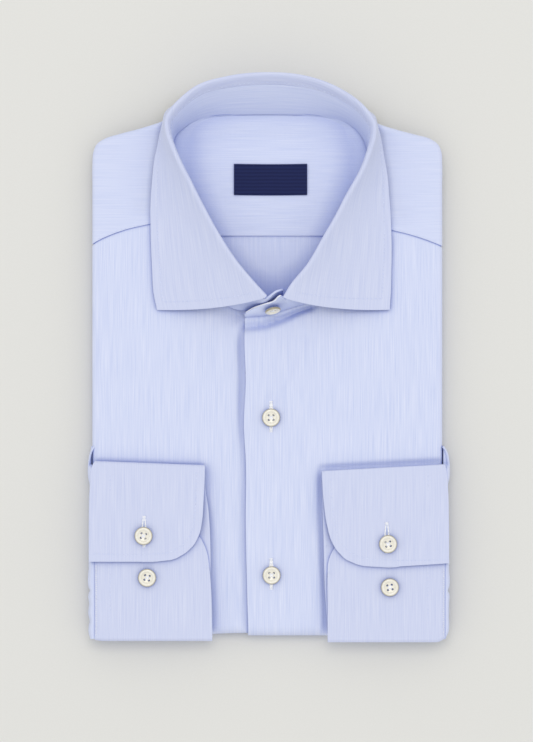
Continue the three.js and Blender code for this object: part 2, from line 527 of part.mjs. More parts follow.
// The fall: from its seam inside the collar up over the roll, then out and down to its edge
function collarFall() {
  const grid = COLLAR_SECTIONS.map(({ seam, roll, edge, outward, bend }) => {
    const down = seam.clone().sub(roll);
    const height = down.length();
    const start = roll.clone().addScaledVector(down, 1 - STAND_SHARE - GAP / height);
    const rise = roll.clone().addScaledVector(down, ROLL.start / height);
    const crest = roll.clone().add(point(0, 0, ROLL.crest));
    const over = roll.clone().addScaledVector(outward, ROLL.out).add(point(0, 0, ROLL.over));
    const control = over.clone().lerp(edge, FALL_BEND).add(point(0, -bend, 0));
    const fall = FALL_SHARES.map((share) => {
      const rest = 1 - share;
      const p = over.clone().multiplyScalar(rest * rest);
      p.addScaledVector(control, 2 * share * rest).addScaledVector(edge, share * share);
      p.z = edge.z + (over.z - edge.z) * rest ** FALL_FLATTENING;
      return p;
    });
    return [start, rise, crest, over, ...fall];
  });
  return wallAround(grid, COLLAR_WALL);
}
add('collar_leaf', collarFall(), COLOURS.fall);

// The cuffs

// Each cuff is one strip: from its overlap end up to the top fold, down its under layer to the bottom fold
// and up again to the underlap end. seam is the edge at the sleeve, wrist the free edge, both across the body.
const RIGHT_CUFF = [
  { y: -128.4, z: 19.4, seam: -113.2, wrist: -72 }, { y: -127.4, z: 19.4, seam: -113.2, wrist: -62 },
  { y: -124.6, z: 19.4, seam: -113.2, wrist: -55.4 }, { y: -119.6, z: 19.3, seam: -113.2, wrist: -48.9 },
  { y: -112.4, z: 19.2, seam: -113.2, wrist: -44.4 }, { y: -102, z: 18.9, seam: -113.1, wrist: -42 },
  { y: -88, z: 18.4, seam: -112.8, wrist: -41.1 }, { y: -72, z: 18, seam: -112, wrist: -40.4 },
  { y: -68, z: 18, seam: -110.6, wrist: -40.3 }, { y: -66.9, z: 17.5, seam: -109.8, wrist: -40.3 },
  { y: -66.9, z: 16.5, seam: -109.6, wrist: -40.3 }, { y: -68, z: 16, seam: -109.6, wrist: -40.3 },
  { y: -80, z: 16, seam: -109.6, wrist: -40.1 }, { y: -96, z: 16, seam: -109.6, wrist: -38.1 },
  { y: -116, z: 16, seam: -109.6, wrist: -37 }, { y: -140, z: 16, seam: -109.6, wrist: -36.6 },
  { y: -176.8, z: 16, seam: -109.6, wrist: -35.7 }, { y: -177.8, z: 16.5, seam: -109.6, wrist: -35.7 },
  { y: -177.8, z: 17.3, seam: -109.6, wrist: -35.7 }, { y: -176.8, z: 17.8, seam: -109.6, wrist: -35.7 },
  { y: -160, z: 17.8, seam: -109.6, wrist: -35.9 }, { y: -144.7, z: 17.8, seam: -109.6, wrist: -36.5 },
  { y: -132, z: 17.8, seam: -109.6, wrist: -37.6 }, { y: -123, z: 17.7, seam: -109.6, wrist: -39 },
  { y: -116.7, z: 17.6, seam: -109.6, wrist: -41.4 }, { y: -111.5, z: 17.5, seam: -109.6, wrist: -45 },
  { y: -108.4, z: 17.4, seam: -109.6, wrist: -50 },
];
const LEFT_CUFF = [
  { y: -132.2, z: 19.4, seam: 113.2, wrist: 74 }, { y: -131.2, z: 19.4, seam: 113.2, wrist: 60.4 },
  { y: -128.4, z: 19.4, seam: 113.2, wrist: 51.4 }, { y: -123, z: 19.3, seam: 113.2, wrist: 44.2 },
  { y: -116, z: 19.2, seam: 113.2, wrist: 39.6 }, { y: -106, z: 18.9, seam: 113.1, wrist: 36.6 },
  { y: -92, z: 18.4, seam: 112.8, wrist: 34.6 }, { y: -76, z: 18, seam: 112, wrist: 33.5 },
  { y: -71, z: 18, seam: 111.2, wrist: 33.3 }, { y: -69.7, z: 17.5, seam: 110.8, wrist: 33.3 },
  { y: -69.7, z: 16.5, seam: 110.6, wrist: 33.3 }, { y: -71, z: 16, seam: 110.6, wrist: 33.3 },
  { y: -84, z: 16, seam: 110.6, wrist: 33.4 }, { y: -98, z: 16, seam: 110.6, wrist: 33.8 },
  { y: -116, z: 16, seam: 110.6, wrist: 34.4 }, { y: -142, z: 16, seam: 110.6, wrist: 35 },
  { y: -177.6, z: 16, seam: 110.6, wrist: 36.9 }, { y: -178.6, z: 16.5, seam: 110.6, wrist: 36.9 },
  { y: -178.6, z: 17.3, seam: 110.6, wrist: 36.9 }, { y: -177.6, z: 17.8, seam: 110.6, wrist: 36.9 },
  { y: -160, z: 17.8, seam: 110.6, wrist: 36.9 }, { y: -146, z: 17.8, seam: 110.6, wrist: 36.7 },
  { y: -133, z: 17.8, seam: 110.6, wrist: 36.9 }, { y: -125, z: 17.7, seam: 110.6, wrist: 38.4 },
  { y: -119.6, z: 17.6, seam: 110.6, wrist: 41.4 }, { y: -115, z: 17.5, seam: 110.6, wrist: 45.6 },
  { y: -112.4, z: 17.4, seam: 110.6, wrist: 51 },
];
// The top fold slants a little: it lies higher towards the side than at the wrist edge.
const CUFF_SLANTS = { right: 2.6, left: 4.2 };
const CUFF_TOP_Y = -70;
const CUFF_SLANT_START_Y = -110;
const CUFF_SHARES = [0, 0.25, 0.5, 0.75, 1];

function cuff(rows, slant) {
  return wallAround(rows.map(({ y, z, seam, wrist }) => CUFF_SHARES.map((share) => {
    const lift = slant * (0.5 - share) * smoothstep(y, CUFF_SLANT_START_Y, CUFF_TOP_Y);
    return point(lerp(seam, wrist, share), y + lift, z);
  })), CUFF_WALL);
}
add('cuff_right', cuff(RIGHT_CUFF, CUFF_SLANTS.right), COLOURS.cloth);
add('cuff_left', cuff(LEFT_CUFF, CUFF_SLANTS.left), COLOURS.cloth);

// The sleeves, where they come out of the groove and round the side fold to the seams of the cuffs.
// loose is how far the middle of the wall stands outside the side fold, into its reach in the groove.
const SLEEVE_WALL = 1.7;
const SLEEVE_ROWS = [
  { y: -177.4, loose: 1.7, into: 0 }, { y: -172, loose: 1.8, into: 0 }, { y: -168, loose: 1.7, into: 0 },
  { y: -165, loose: 1.4, into: 1.5 }, { y: -158, loose: 1.7, into: 4 }, { y: -149, loose: 1.3, into: 4 },
  { y: -146, loose: 1.7, into: 4 }, { y: -132, loose: 1.7, into: 4 }, { y: -110, loose: 1.6, into: 4 },
  { y: -88, loose: 1.4, into: 4 }, { y: -72, loose: 1.6, into: 4 }, { y: -63, loose: 1.4, into: 4 },
  { y: -57, loose: 1.2, into: 4 },
];
// Its section goes from the cuff's seam down the side, each point this far in from the outermost one
const SLEEVE_SIDE = [{ inward: 0.9, z: 15.5 }, { inward: 0.2, z: 13.2 }, { inward: 0, z: 10.6 }];
const SLEEVE_TUCK = { inward: 0.5, z: 8.6, fold: 0.4 };
const SLEEVE_HANG = { z: 7.8, end: 7 };
const SLEEVES = {
  sleeve_right: { side: -1, seam: 109.6, fold: HALF_WIDTH - STACK_CENTRE_X, ease: 0 },
  sleeve_left: { side: 1, seam: 110.6, fold: HALF_WIDTH + STACK_CENTRE_X, ease: 2 },
};

function sleeve({ side, seam, fold, ease }) {
  return wallAround(SLEEVE_ROWS.map(({ y, loose, into }) => {
    const out = fold + ease + loose;
    const lowest = into > 0
      ? [[out - SLEEVE_TUCK.inward, SLEEVE_TUCK.z], [fold - SLEEVE_TUCK.fold, TURN_HEIGHT], [fold - into, TURN_HEIGHT]]
      : [[out, SLEEVE_TUCK.z], [out, SLEEVE_HANG.z], [out, SLEEVE_HANG.end]];
    return [
      [seam + 3 * GAP, STACK_HEIGHT + GAP + SLEEVE_WALL / 2],
      ...SLEEVE_SIDE.map(({ inward, z }) => [out - inward, z]),
      ...lowest,
    ].map(([across, z]) => point(side * across, y, z));
  }), SLEEVE_WALL);
}
for (const [name, sizes] of Object.entries(SLEEVES)) add(name, sleeve(sizes), COLOURS.cloth);

// The buttons: a turned disc with a raised rim, a dished face and four holes
const BUTTON_PROFILE = [
  { r: 0, z: 0 }, { r: 4.4, z: 0 }, { r: 5.4, z: 0.6 }, { r: BUTTON_RADIUS, z: 1.3 }, { r: 5.3, z: BUTTON_HEIGHT },
  { r: 4.4, z: 2.3 }, { r: 3.7, z: 1.7 }, { r: 0, z: 1.6 },
];
const BUTTON_SIDES = 24;
const HOLE_SIDES = 8;

function buttonGeometry() {
  const profile = BUTTON_PROFILE.map(({ r, z }) => new THREE.Vector2(r, z));
  const disc = new THREE.LatheGeometry(profile, BUTTON_SIDES).rotateX(degToRad(90));
  const drill = (x, y) => {
    const hole = new THREE.CylinderGeometry(BUTTON_HOLE_RADIUS, BUTTON_HOLE_RADIUS, 4 * BUTTON_HEIGHT, HOLE_SIDES);
    return toSolid(hole.rotateX(degToRad(90)).translate(x, y, 0));
  };
  let button = toSolid(disc);
  for (const x of [-1, 1]) {
    for (const y of [-1, 1]) button = button.subtract(drill(x * BUTTON_HOLE_OFFSET, y * BUTTON_HOLE_OFFSET));
  }
  return toGeometry(button);
}

const OVERLAP_CUFF_TOP = 20.24;
const UNDERLAP_CUFF_TOP = 18.82;
const FRONT_TOP = STACK_HEIGHT + GAP;
const FLAT_BUTTONS = [
  { name: 'button_front_1', x: 1.3, y: -37.8, z: FRONT_TOP },
  { name: 'button_front_2', x: 1.6, y: -137.1, z: FRONT_TOP },
  { name: 'button_cuff_right_1', x: -78.9, y: -112.1, z: OVERLAP_CUFF_TOP },
  { name: 'button_cuff_right_2', x: -76.7, y: -138.5, z: UNDERLAP_CUFF_TOP },
  { name: 'button_cuff_left_1', x: 74.8, y: -117.2, z: OVERLAP_CUFF_TOP },
  { name: 'button_cuff_left_2', x: 76, y: -144.5, z: UNDERLAP_CUFF_TOP },
];
for (const { name, x, y, z } of FLAT_BUTTONS) {
  add(name, buttonGeometry(), COLOURS.button, 0.3).position.set(x, y, z);
}

// The collar button sits on the slope of the band's overlap end, between two of its sections: this share of
// the way along from one to the other and this share of the way up, square to the band over the stretch it covers.
const COLLAR_BUTTON = { along: 0.2, up: 0.62, low: 0.45, high: 0.75 };

function seatCollarButton(button) {
  const [start, end] = [OVERLAP_END[1], OVERLAP_END[2]];
  const between = (share) => bandPoint(start, share).lerp(bandPoint(end, share), COLLAR_BUTTON.along);
  const up = between(COLLAR_BUTTON.high).sub(between(COLLAR_BUTTON.low)).normalize();
  const along = bandPoint(start, COLLAR_BUTTON.up).sub(bandPoint(end, COLLAR_BUTTON.up)).normalize();
  const out = along.clone().cross(up).normalize();
  const turned = new THREE.Matrix4().makeBasis(up.clone().cross(out), up, out);
  button.quaternion.setFromRotationMatrix(turned);
  button.position.copy(between(COLLAR_BUTTON.up)).addScaledVector(out, COLLAR_WALL / 2 + GAP);
}
seatCollarButton(add('button_collar', buttonGeometry(), COLOURS.button, 0.3));

export default shirt;
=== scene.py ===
# %% [markdown]
# # A folded dress shirt
# This lesson gives the looks to a light blue dress shirt that lies folded on a pale table, seen straight
# from above. The solids that come with the frame hold its sizes. Each cloth solid is replaced here by a
# thin shell on the same form, with its creases, seams and stitches. All sizes are written in millimetres.

# %% Load the frame
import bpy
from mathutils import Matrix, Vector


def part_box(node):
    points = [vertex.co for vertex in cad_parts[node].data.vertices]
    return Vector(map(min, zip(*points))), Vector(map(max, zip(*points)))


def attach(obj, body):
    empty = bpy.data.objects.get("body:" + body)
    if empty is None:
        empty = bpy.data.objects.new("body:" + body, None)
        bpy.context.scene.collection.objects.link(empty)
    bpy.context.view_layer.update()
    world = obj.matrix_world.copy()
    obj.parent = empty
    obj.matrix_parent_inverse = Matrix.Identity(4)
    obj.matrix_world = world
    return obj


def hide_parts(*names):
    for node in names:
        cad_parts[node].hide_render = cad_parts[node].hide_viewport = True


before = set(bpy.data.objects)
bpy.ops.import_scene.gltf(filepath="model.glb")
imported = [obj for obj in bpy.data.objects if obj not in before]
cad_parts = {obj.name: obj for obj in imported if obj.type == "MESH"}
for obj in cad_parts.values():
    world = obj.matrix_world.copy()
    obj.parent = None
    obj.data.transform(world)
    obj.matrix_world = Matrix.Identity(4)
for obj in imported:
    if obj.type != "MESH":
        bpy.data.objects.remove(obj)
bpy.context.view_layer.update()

# %% Modules and units
import math

import bmesh
import bpy
import numpy as np
from mathutils import Matrix, Vector
from mathutils.bvhtree import BVHTree

MM = 0.001
scene = bpy.context.scene

# %% [markdown]
# A pattern cutter draws a seam through a few marks with a bendy curve. The tables below are those marks,
# and this function is the bendy curve. A guarded curve keeps straight stretches straight, which folded
# strips need, and an unguarded one flows, which the collar needs.

# %% Curves through the rows of a table
def table(names, *rows):
    """Named columns of numbers from rows written one under the other."""
    return dict(zip(names.split(), np.array(rows, float).T))


def curve(knots, values, where, guarded=False):
    """The values at where, on a smooth curve through all the rows."""
    gaps = np.diff(knots)
    slopes = np.diff(values) / gaps
    middle = (gaps[1:] * slopes[:-1] + gaps[:-1] * slopes[1:]) / (gaps[1:] + gaps[:-1])
    if guarded:
        least = 2 * np.minimum(abs(slopes[:-1]), abs(slopes[1:]))
        middle = np.where(slopes[:-1] * slopes[1:] > 0, np.clip(middle, -least, least), 0)
    tangents = np.concatenate([slopes[:1], middle, slopes[-1:]])
    i = np.clip(np.searchsorted(knots, where, side="right") - 1, 0, len(knots) - 2)
    t = (np.clip(where, knots[0], knots[-1]) - knots[i]) / gaps[i]
    bow = tangents[i] * t * (1 - t) ** 2 - tangents[i + 1] * t * t * (1 - t)
    return values[i] * (1 + 2 * t) * (1 - t) ** 2 + values[i + 1] * t * t * (3 - 2 * t) + gaps[i] * bow


def travelled(*columns):
    """How far a point has gone along the rows when it reaches each of them."""
    steps = np.sqrt(sum(np.diff(column) ** 2 for column in columns))
    return np.concatenate([[0], np.cumsum(steps)])


def parts(share, *marks):
    """One share from 0 to 1 split at the marks into shares of the stretches between them."""
    ends = [0, *marks, 1]
    return [np.clip((share - low) / (high - low), 0, 1) for low, high in zip(ends, ends[1:])]


def blend(low, high, share):
    """The value that is a share of the way from low to high."""
    return low + (high - low) * share


def ease(value, low, high):
    """0 below low, 1 above high and a soft step between them."""
    t = np.clip((value - low) / (high - low), 0, 1)
    return t * t * (3 - 2 * t)

# %% [markdown]
# Cotton poplin is thin and crisp. What reads as cloth from above is that nothing is quite flat: pressed
# folds spring up a little and the light runs over them. Real creases could come from a cloth simulation,
# but a shirt folded round a card has only a few, and they have known places. So each one is a soft trough
# or ridge along a line of points, and a slow unevenness lies over all of it.

# %% Creases and slow unevenness
WAVES = 5


def unevenness(x, y, wave, seed):
    """A slow smooth height between about -1 and 1 that never repeats in a stretch of cloth."""
    total = 0
    for turn in range(WAVES):
        angle = seed * 1.7 + turn * 2.4
        length = wave * (0.7 + 0.33 * turn)
        across = x * math.cos(angle) + y * math.sin(angle)
        along = y * math.cos(angle) - x * math.sin(angle)
        phase = 2 * math.pi * across / length + seed * (turn + 1)
        total = total + np.sin(phase + 1.3 * np.sin(along / wave))
    return total / WAVES


def distance_to(line, x, y):
    """How far each place is from a line of points in plan."""
    nearest = np.full(np.shape(x), np.inf)
    for (ax, ay), (bx, by) in zip(line, line[1:]):
        dx, dy = bx - ax, by - ay
        t = np.clip(((x - ax) * dx + (y - ay) * dy) / (dx * dx + dy * dy), 0, 1)
        nearest = np.minimum(nearest, np.hypot(x - ax - t * dx, y - ay - t * dy))
    return nearest


def creases(folds, x, y):
    """The height of all the creases: each has a height, a width and its line of points."""
    return sum(height * np.exp(-(distance_to(line, x, y) / width) ** 2) for height, width, *line in folds)


BUTTON_NODES = [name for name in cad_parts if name.startswith("button_")]


def button_seat(node):
    """The middle of a button in plan and the height of its underside, in millimetres."""
    low, high = (np.array(corner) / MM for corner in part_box(node))
    return (low[0] + high[0]) / 2, (low[1] + high[1]) / 2, low[2]


BUTTON_SEATS = {node: button_seat(node) for node in BUTTON_NODES}
BUTTON_HOLD = 9  # how far round a button its thread holds the cloth down


def away_from_buttons(x, y):
    """1 on free cloth and 0 at each button that is sewn flat."""
    held = 0
    for node, (button_x, button_y, _) in BUTTON_SEATS.items():
        if node != "button_collar":
            held = held + np.exp(-((x - button_x) ** 2 + (y - button_y) ** 2) / BUTTON_HOLD ** 2)
    return np.clip(1 - held, 0, 1)


print("buttons at", {node: tuple(round(float(v), 1) for v in seat) for node, seat in BUTTON_SEATS.items()})

# %% [markdown]
# Every piece of cloth starts as a flat grid, as cloth does. Its vertices are then moved to the piece's
# form, which is a function of two shares, one for each direction of the cut piece. The form also gives
# each vertex its place on the cut cloth, kept as a UV map, so the stripes follow the cloth round each fold.
# A Solidify modifier gives the wall and a Bevel rounds its raw rim as a turned edge is rounded.

# %% A piece of cloth from a grid
MATERIALS = {}
CUT_SIZES = {}


def finish_piece(name, bm, *materials, smooth=True):
    """Turns a bmesh into an object with its materials, at the origin."""
    for face in bm.faces:
        face.smooth = smooth
    mesh = bpy.data.meshes.new(name)
    bm.to_mesh(mesh)
    bm.free()
    for material in materials:
        mesh.materials.append(material)
    piece = bpy.data.objects.new(name, mesh)
    scene.collection.objects.link(piece)
    return piece


def cut_size(bm, cut):
    """The width, length and area of the flat cloth, in metres, from its places on the cut."""
    corners = [np.array([loop[cut].uv for loop in face.loops]) for face in bm.faces]
    flat = np.concatenate(corners)
    area = 0
    for a, b, c, d in corners:
        (ax, ay), (bx, by) = c - a, d - b
        area += abs(ax * by - ay * bx) / 2
    width, length = flat.max(0) - flat.min(0)
    return float(width), float(length), float(min(area, width * length))


def cloth(name, forms, columns, rows, wall, offset=-1, turned=False, rim=0.3, weave="poplin", rounds=2):
    """A shell of cloth on one or more forms, with a wall in millimetres and a rounded rim."""
    bm = bmesh.new()
    cut = bm.loops.layers.uv.new("cut")
    for form in forms if isinstance(forms, list) else [forms]:
        grid = bmesh.ops.create_grid(bm, x_segments=columns, y_segments=rows, size=0.5)["verts"]
        shares = np.array([vert.co[:2] for vert in grid]) + 0.5
        placed = dict(zip(grid, form(shares[:, 0], shares[:, 1]) * MM))
        for vert, place in placed.items():
            vert.co = place[:3]
        for face in {face for vert in grid for face in vert.link_faces}:
            for loop in face.loops:
                loop[cut].uv = placed[loop.vert][3:]
    CUT_SIZES[name] = cut_size(bm, cut)
    if turned:
        bmesh.ops.reverse_faces(bm, faces=bm.faces)
    piece = finish_piece(name, bm, MATERIALS[weave])
    shell = piece.modifiers.new("wall", "SOLIDIFY")
    shell.thickness = wall * MM
    shell.offset = offset
    edge = piece.modifiers.new("turned edge", "BEVEL")
    edge.width = rim * MM
    edge.segments = rounds
    edge.limit_method = "ANGLE"
    edge.angle_limit = math.radians(55)
    width, length, _ = CUT_SIZES[name]
    print(f"{name}: {columns} by {rows} faces, wall {wall} mm, cut {width / MM:.0f} by {length / MM:.0f} mm")
    return piece


def dress(piece, *nodes, slot="cloth", held="folded", rests_on=()):
    """The piece moves with the shirt and hides the solids that it stands for."""
    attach(piece, "root")
    if nodes:
        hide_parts(*nodes)
    return piece

# %% [markdown]
# The colours were matched to the photograph and are written as the usual six-digit sRGB values. Shaders
# work in linear light, so one function turns them round, and one more adds a node with its settings and
# links.

# %% Colours and nodes
def linear(colour):
    """The linear colour of an sRGB hex value such as d5dcf4."""
    shares = [int(colour[i:i + 2], 16) / 255 for i in (0, 2, 4)]
    return [c / 12.92 if c <= 0.04045 else ((c + 0.055) / 1.055) ** 2.4 for c in shares] + [1.0]


def add_node(tree, kind, inputs={}, **settings):
    """A shader node with its settings, and its sockets either set or fed by another node's output."""
    node = tree.nodes.new("ShaderNode" + kind)
    for key, value in settings.items():
        setattr(node, key, value)
    for key, value in inputs.items():
        if isinstance(value, bpy.types.NodeSocket):
            tree.links.new(value, node.inputs[key])
        else:
            node.inputs[key].default_value = value
    return node


def new_material(name):
    """An empty material with its node tree and its Principled shader."""
    material = bpy.data.materials.new(name)
    material.use_nodes = True
    return material, material.node_tree, material.node_tree.nodes["Principled BSDF"]


def set_sockets(shader, **values):
    """Sets sockets by name, with an underscore for each space."""
    for key, value in values.items():
        shader.inputs[key.replace("_", " ")].default_value = value

# %% [markdown]
# The cloth is cotton poplin, woven end on end: each warp thread is blue or white in turn, so the colour
# breaks up into fine hairlines along the warp. The threads are a quarter of a millimetre apart, finer than
# a pixel here, so the hairlines are drawn as the bundles that show, about a millimetre across and a few
# centimetres long. The weave is drawn coarser too, as a faint bump in waves of about three millimetres.
# Cotton is matt with a soft sheen at grazing angles. Its colour also carries painted shade: where little of
# the sky is open, in folds, at seams and near taller cloth, an ambient occlusion node mixes it towards a
# deep blue.

# %% Cotton poplin
HAIRLINE_WIDTH = 0.62 * MM
HAIRLINE_LENGTH = 30 * MM
SLUB_WIDTH = 1.8 * MM
SLUB_LENGTH = 55 * MM
SLUB_SHARE = 0.18
WAVES_PER_UNIT = 20 / (2 * math.pi)  # the bands in one unit of a wave texture whose scale is 1
WEAVE_PERIOD = math.pi * MM
FOLDED_SKY, OPEN_SKY = 0.3, 0.94
SHADE_REACH, FRONT_SHADE_REACH, COLLAR_SHADE_REACH = 5 * MM, 12 * MM, 26 * MM
POPLIN, FUSED_POPLIN, INNER_POPLIN = ("bfc9ea", "e0e4f7"), ("bbc3e4", "dbdff2"), ("c4ceee", "e6eafb")
PAINTED_SHADE_BLUE = "8797d2"


def poplin(name, colours, strength, depth=SHADE_REACH):
    """Poplin between two colours, with painted shade near other cloth. strength is how clear its hairlines
    are, from 0 to 1, and depth is how far away cloth still darkens it with painted shade."""
    material, tree, shader = new_material(name)
    cut = add_node(tree, "UVMap", uv_map="cut").outputs["UV"]
    fine = add_node(tree, "Mapping", {"Vector": cut, "Scale": (1 / HAIRLINE_WIDTH, 1 / HAIRLINE_LENGTH, 1)})
    broad = add_node(tree, "Mapping", {"Vector": cut, "Scale": (1 / SLUB_WIDTH, 1 / SLUB_LENGTH, 1)})
    hairlines = add_node(tree, "TexNoise", {
        "Vector": fine.outputs["Vector"], "Scale": 1.0, "Detail": 1.5, "Roughness": 0.6})
    slubs = add_node(tree, "TexNoise", {
        "Vector": broad.outputs["Vector"], "Scale": 1.0, "Detail": 1.0, "Roughness": 0.5})
    both = add_node(tree, "Mix", {
        "Factor": SLUB_SHARE, "A": hairlines.outputs["Fac"], "B": slubs.outputs["Fac"]})
    spread = 0.5 / strength
    span = add_node(tree, "MapRange", {
        "Value": both.outputs["Result"], "From Min": 0.5 - 0.4 * spread,
        "From Max": 0.5 + 0.4 * spread}).outputs["Result"]
    colour = add_node(tree, "Mix", {
        "Factor": span, "A": linear(colours[0]), "B": linear(colours[1])}, data_type="RGBA")
    # painted shade: where ambient occlusion finds cloth within depth, the base colour is mixed towards a
    # deep blue
    sky = add_node(tree, "AmbientOcclusion", {"Distance": depth}, samples=8).outputs["AO"]
    bright = add_node(tree, "MapRange", {
        "Value": sky, "From Min": FOLDED_SKY, "From Max": OPEN_SKY}).outputs["Result"]
    shaded = add_node(tree, "Mix", {
        "Factor": bright, "A": linear(PAINTED_SHADE_BLUE), "B": colour.outputs["Result"]}, data_type="RGBA")
    threads = {"Vector": cut, "Scale": 1 / (WAVES_PER_UNIT * WEAVE_PERIOD), "Distortion": 0.0}
    warp = add_node(tree, "TexWave", threads, bands_direction="X")
    weft = add_node(tree, "TexWave", threads, bands_direction="Y")
    weave = add_node(tree, "Math", {0: warp.outputs["Fac"], 1: weft.outputs["Fac"]}, operation="ADD")
    height = add_node(tree, "Math", {0: weave.outputs[0], 1: hairlines.outputs["Fac"]}, operation="ADD")
    bump = add_node(tree, "Bump", {"Height": height.outputs[0], "Strength": 0.25, "Distance": 0.06 * MM})
    tree.links.new(shaded.outputs["Result"], shader.inputs["Base Color"])
    tree.links.new(bump.outputs["Normal"], shader.inputs["Normal"])
    set_sockets(shader, Roughness=0.85, Sheen_Weight=0.15, Sheen_Roughness=0.45, IOR=1.45)
    shader.inputs["Specular IOR Level"].default_value = 0.3
    return material


# Every poplin carries painted shade. It reaches 12 mm on the fronts, 26 mm inside the collar and 5 mm
# elsewhere.
MATERIALS["poplin"] = poplin("cotton_poplin_end_on_end_weave", POPLIN, 0.58, FRONT_SHADE_REACH)
MATERIALS["faint"] = poplin("cotton_poplin_seen_across_the_warp", POPLIN, 0.3)
MATERIALS["inner"] = poplin("cotton_poplin_inside_the_collar", INNER_POPLIN, 0.4, COLLAR_SHADE_REACH)
MATERIALS["fused"] = poplin("cotton_poplin_with_fused_interlining", FUSED_POPLIN, 0.45)
print("poplin: hairlines", HAIRLINE_WIDTH / MM, "mm wide, weave waves", round(WEAVE_PERIOD / MM, 2), "mm")

# %% [markdown]
# The label is damask, woven from polyester so fine that it looks like smooth navy satin with a soft gloss.
# Its ribs are drawn about two millimetres apart, as coarse as they need to be to show. The sewing thread has
# a soft lustre. It is white at the buttons, the buttonholes and the bound seams, and a shade paler than the
# cloth in the topstitches. The same white thread lies as a cord on the band's rim as a painted highlight.
# Down a buttonhole's slit a darker blue ball is painted shade, standing for the cloth below in shade.

# %% Damask, thread and the slit
RIB_PERIOD = 0.7 * math.pi * MM


def satin(name, colours, roughness, sheen):
    """A plain woven or twisted finish between two colours, whose faint ribs run across the piece."""
    material, tree, shader = new_material(name)
    place = add_node(tree, "TexCoord").outputs["Object"]
    ribs = add_node(tree, "TexWave", {
        "Vector": place, "Scale": 1 / (WAVES_PER_UNIT * RIB_PERIOD), "Distortion": 0.6}, bands_direction="Y")
    shade = add_node(tree, "Mix", {
        "Factor": ribs.outputs["Fac"], "A": linear(colours[0]), "B": linear(colours[1])}, data_type="RGBA")
    bump = add_node(tree, "Bump", {"Height": ribs.outputs["Fac"], "Strength": 0.3, "Distance": 0.05 * MM})
    tree.links.new(shade.outputs["Result"], shader.inputs["Base Color"])
    tree.links.new(bump.outputs["Normal"], shader.inputs["Normal"])
    set_sockets(shader, Roughness=roughness, Sheen_Weight=sheen)
    shader.inputs["Specular IOR Level"].default_value = 0.15
    return material


MATERIALS["damask"] = satin("polyester_damask_woven", ("131b47", "1b2553"), 0.6, 0.0)
MATERIALS["thread"] = satin("white_polyester_sewing_thread", ("eef0f8", "fbfbfd"), 0.55, 0.1)
MATERIALS["tonal thread"] = satin("pale_blue_sewing_thread", ("d3dbf4", "e4eafa"), 0.6, 0.1)
# painted shade: the darker blue of a buttonhole's slit stands for the cloth below in shade
MATERIALS["slit"] = satin("painted_shade_in_the_slit", ("a9b5dc", "b2bde2"), 0.9, 0.0)
print("thread and label materials:", [material.name for material in MATERIALS.values()])

# %% [markdown]
# The folded stack is an upper half under the fronts and a lower half of folded tails, with a groove
# between them round the sides. These are the driving sizes of the fold, in millimetres, with the neck
# seam, the seams and edges that the pieces share, and the sections of the collar.

# %% Driving sizes
HALF_WIDTH, STACK_CENTRE_X, STACK_HEIGHT, HALF_HEIGHT = 110.4, -1.1, 15.0, 6.4
BOTTOM_FOLD_Y, TAIL_END_Y = -168.0, 104.0
GROOVE_REACH, EDGE_RADIUS = 5.5, HALF_HEIGHT / 2
UPPER_MIDDLE, UPPER_LOW = STACK_HEIGHT - EDGE_RADIUS, STACK_HEIGHT - HALF_HEIGHT
TURN_HEIGHT = STACK_HEIGHT / 2
TURN_RADIUS = UPPER_MIDDLE - TURN_HEIGHT
CLOTH_WALL, COLLAR_WALL, CUFF_WALL, SLEEVE_WALL = 1.1, 1.3, 1.2, 1.3
GAP, SEAM_TUCK, SEAM_DEPTH = 0.3, 1.2, 1.3
UNDERLAP_DEPTH, UNDERLAP_EDGE_X = 1.5, 14.0

NECK_SEAM = table(
    "x y", (9, 33.2), (0, 30.4), (-14.5, 29.2), (-25, 33.2), (-37, 43.6), (-46.5, 57), (-53, 73), (-57, 88),
    (-60, 104), (-61.4, 118), (-61.4, 130), (-59.3, 139.8), (-54.2, 144.6), (-48.9, 148.4), (-43.5, 150.8),
    (-36, 152.4), (-26.5, 153.2), (0, 153.6), (25.2, 153.2), (40.4, 151.2), (49.2, 148.2), (56.8, 142),
    (61.2, 134.5), (63.2, 124), (63.2, 112), (61.6, 98), (58.8, 84), (54.2, 70), (47.6, 56.6), (38.4, 44.6),
    (28, 36.6), (19.5, 33.4), (10.4, 30.8), (-1, 27.4), (-15, 26),
)
NECK_BACK_ROW, NECK_FRONT_ROWS = 17, (2, 32)  # its row at the middle of the back, and those beside the front
YOKE_SEAM = table(
    "x y", (-111.5, 71.7), (-105.5, 74.9), (-98.3, 78), (-90.7, 80.6), (-75, 84.3), (-57, 88.4),
    (58.8, 84.8), (76.9, 80.5), (87.6, 77.9), (97.7, 74.8), (109.4, 70.3),
)
OVERLAP_EDGE = table(
    "y x", (-176, -13), (-139.5, -14), (-104, -14.7), (-64.5, -14.7), (-45, -15.8), (-12.9, -14.7),
    (11, -15.5), (25.4, -15.2),
)
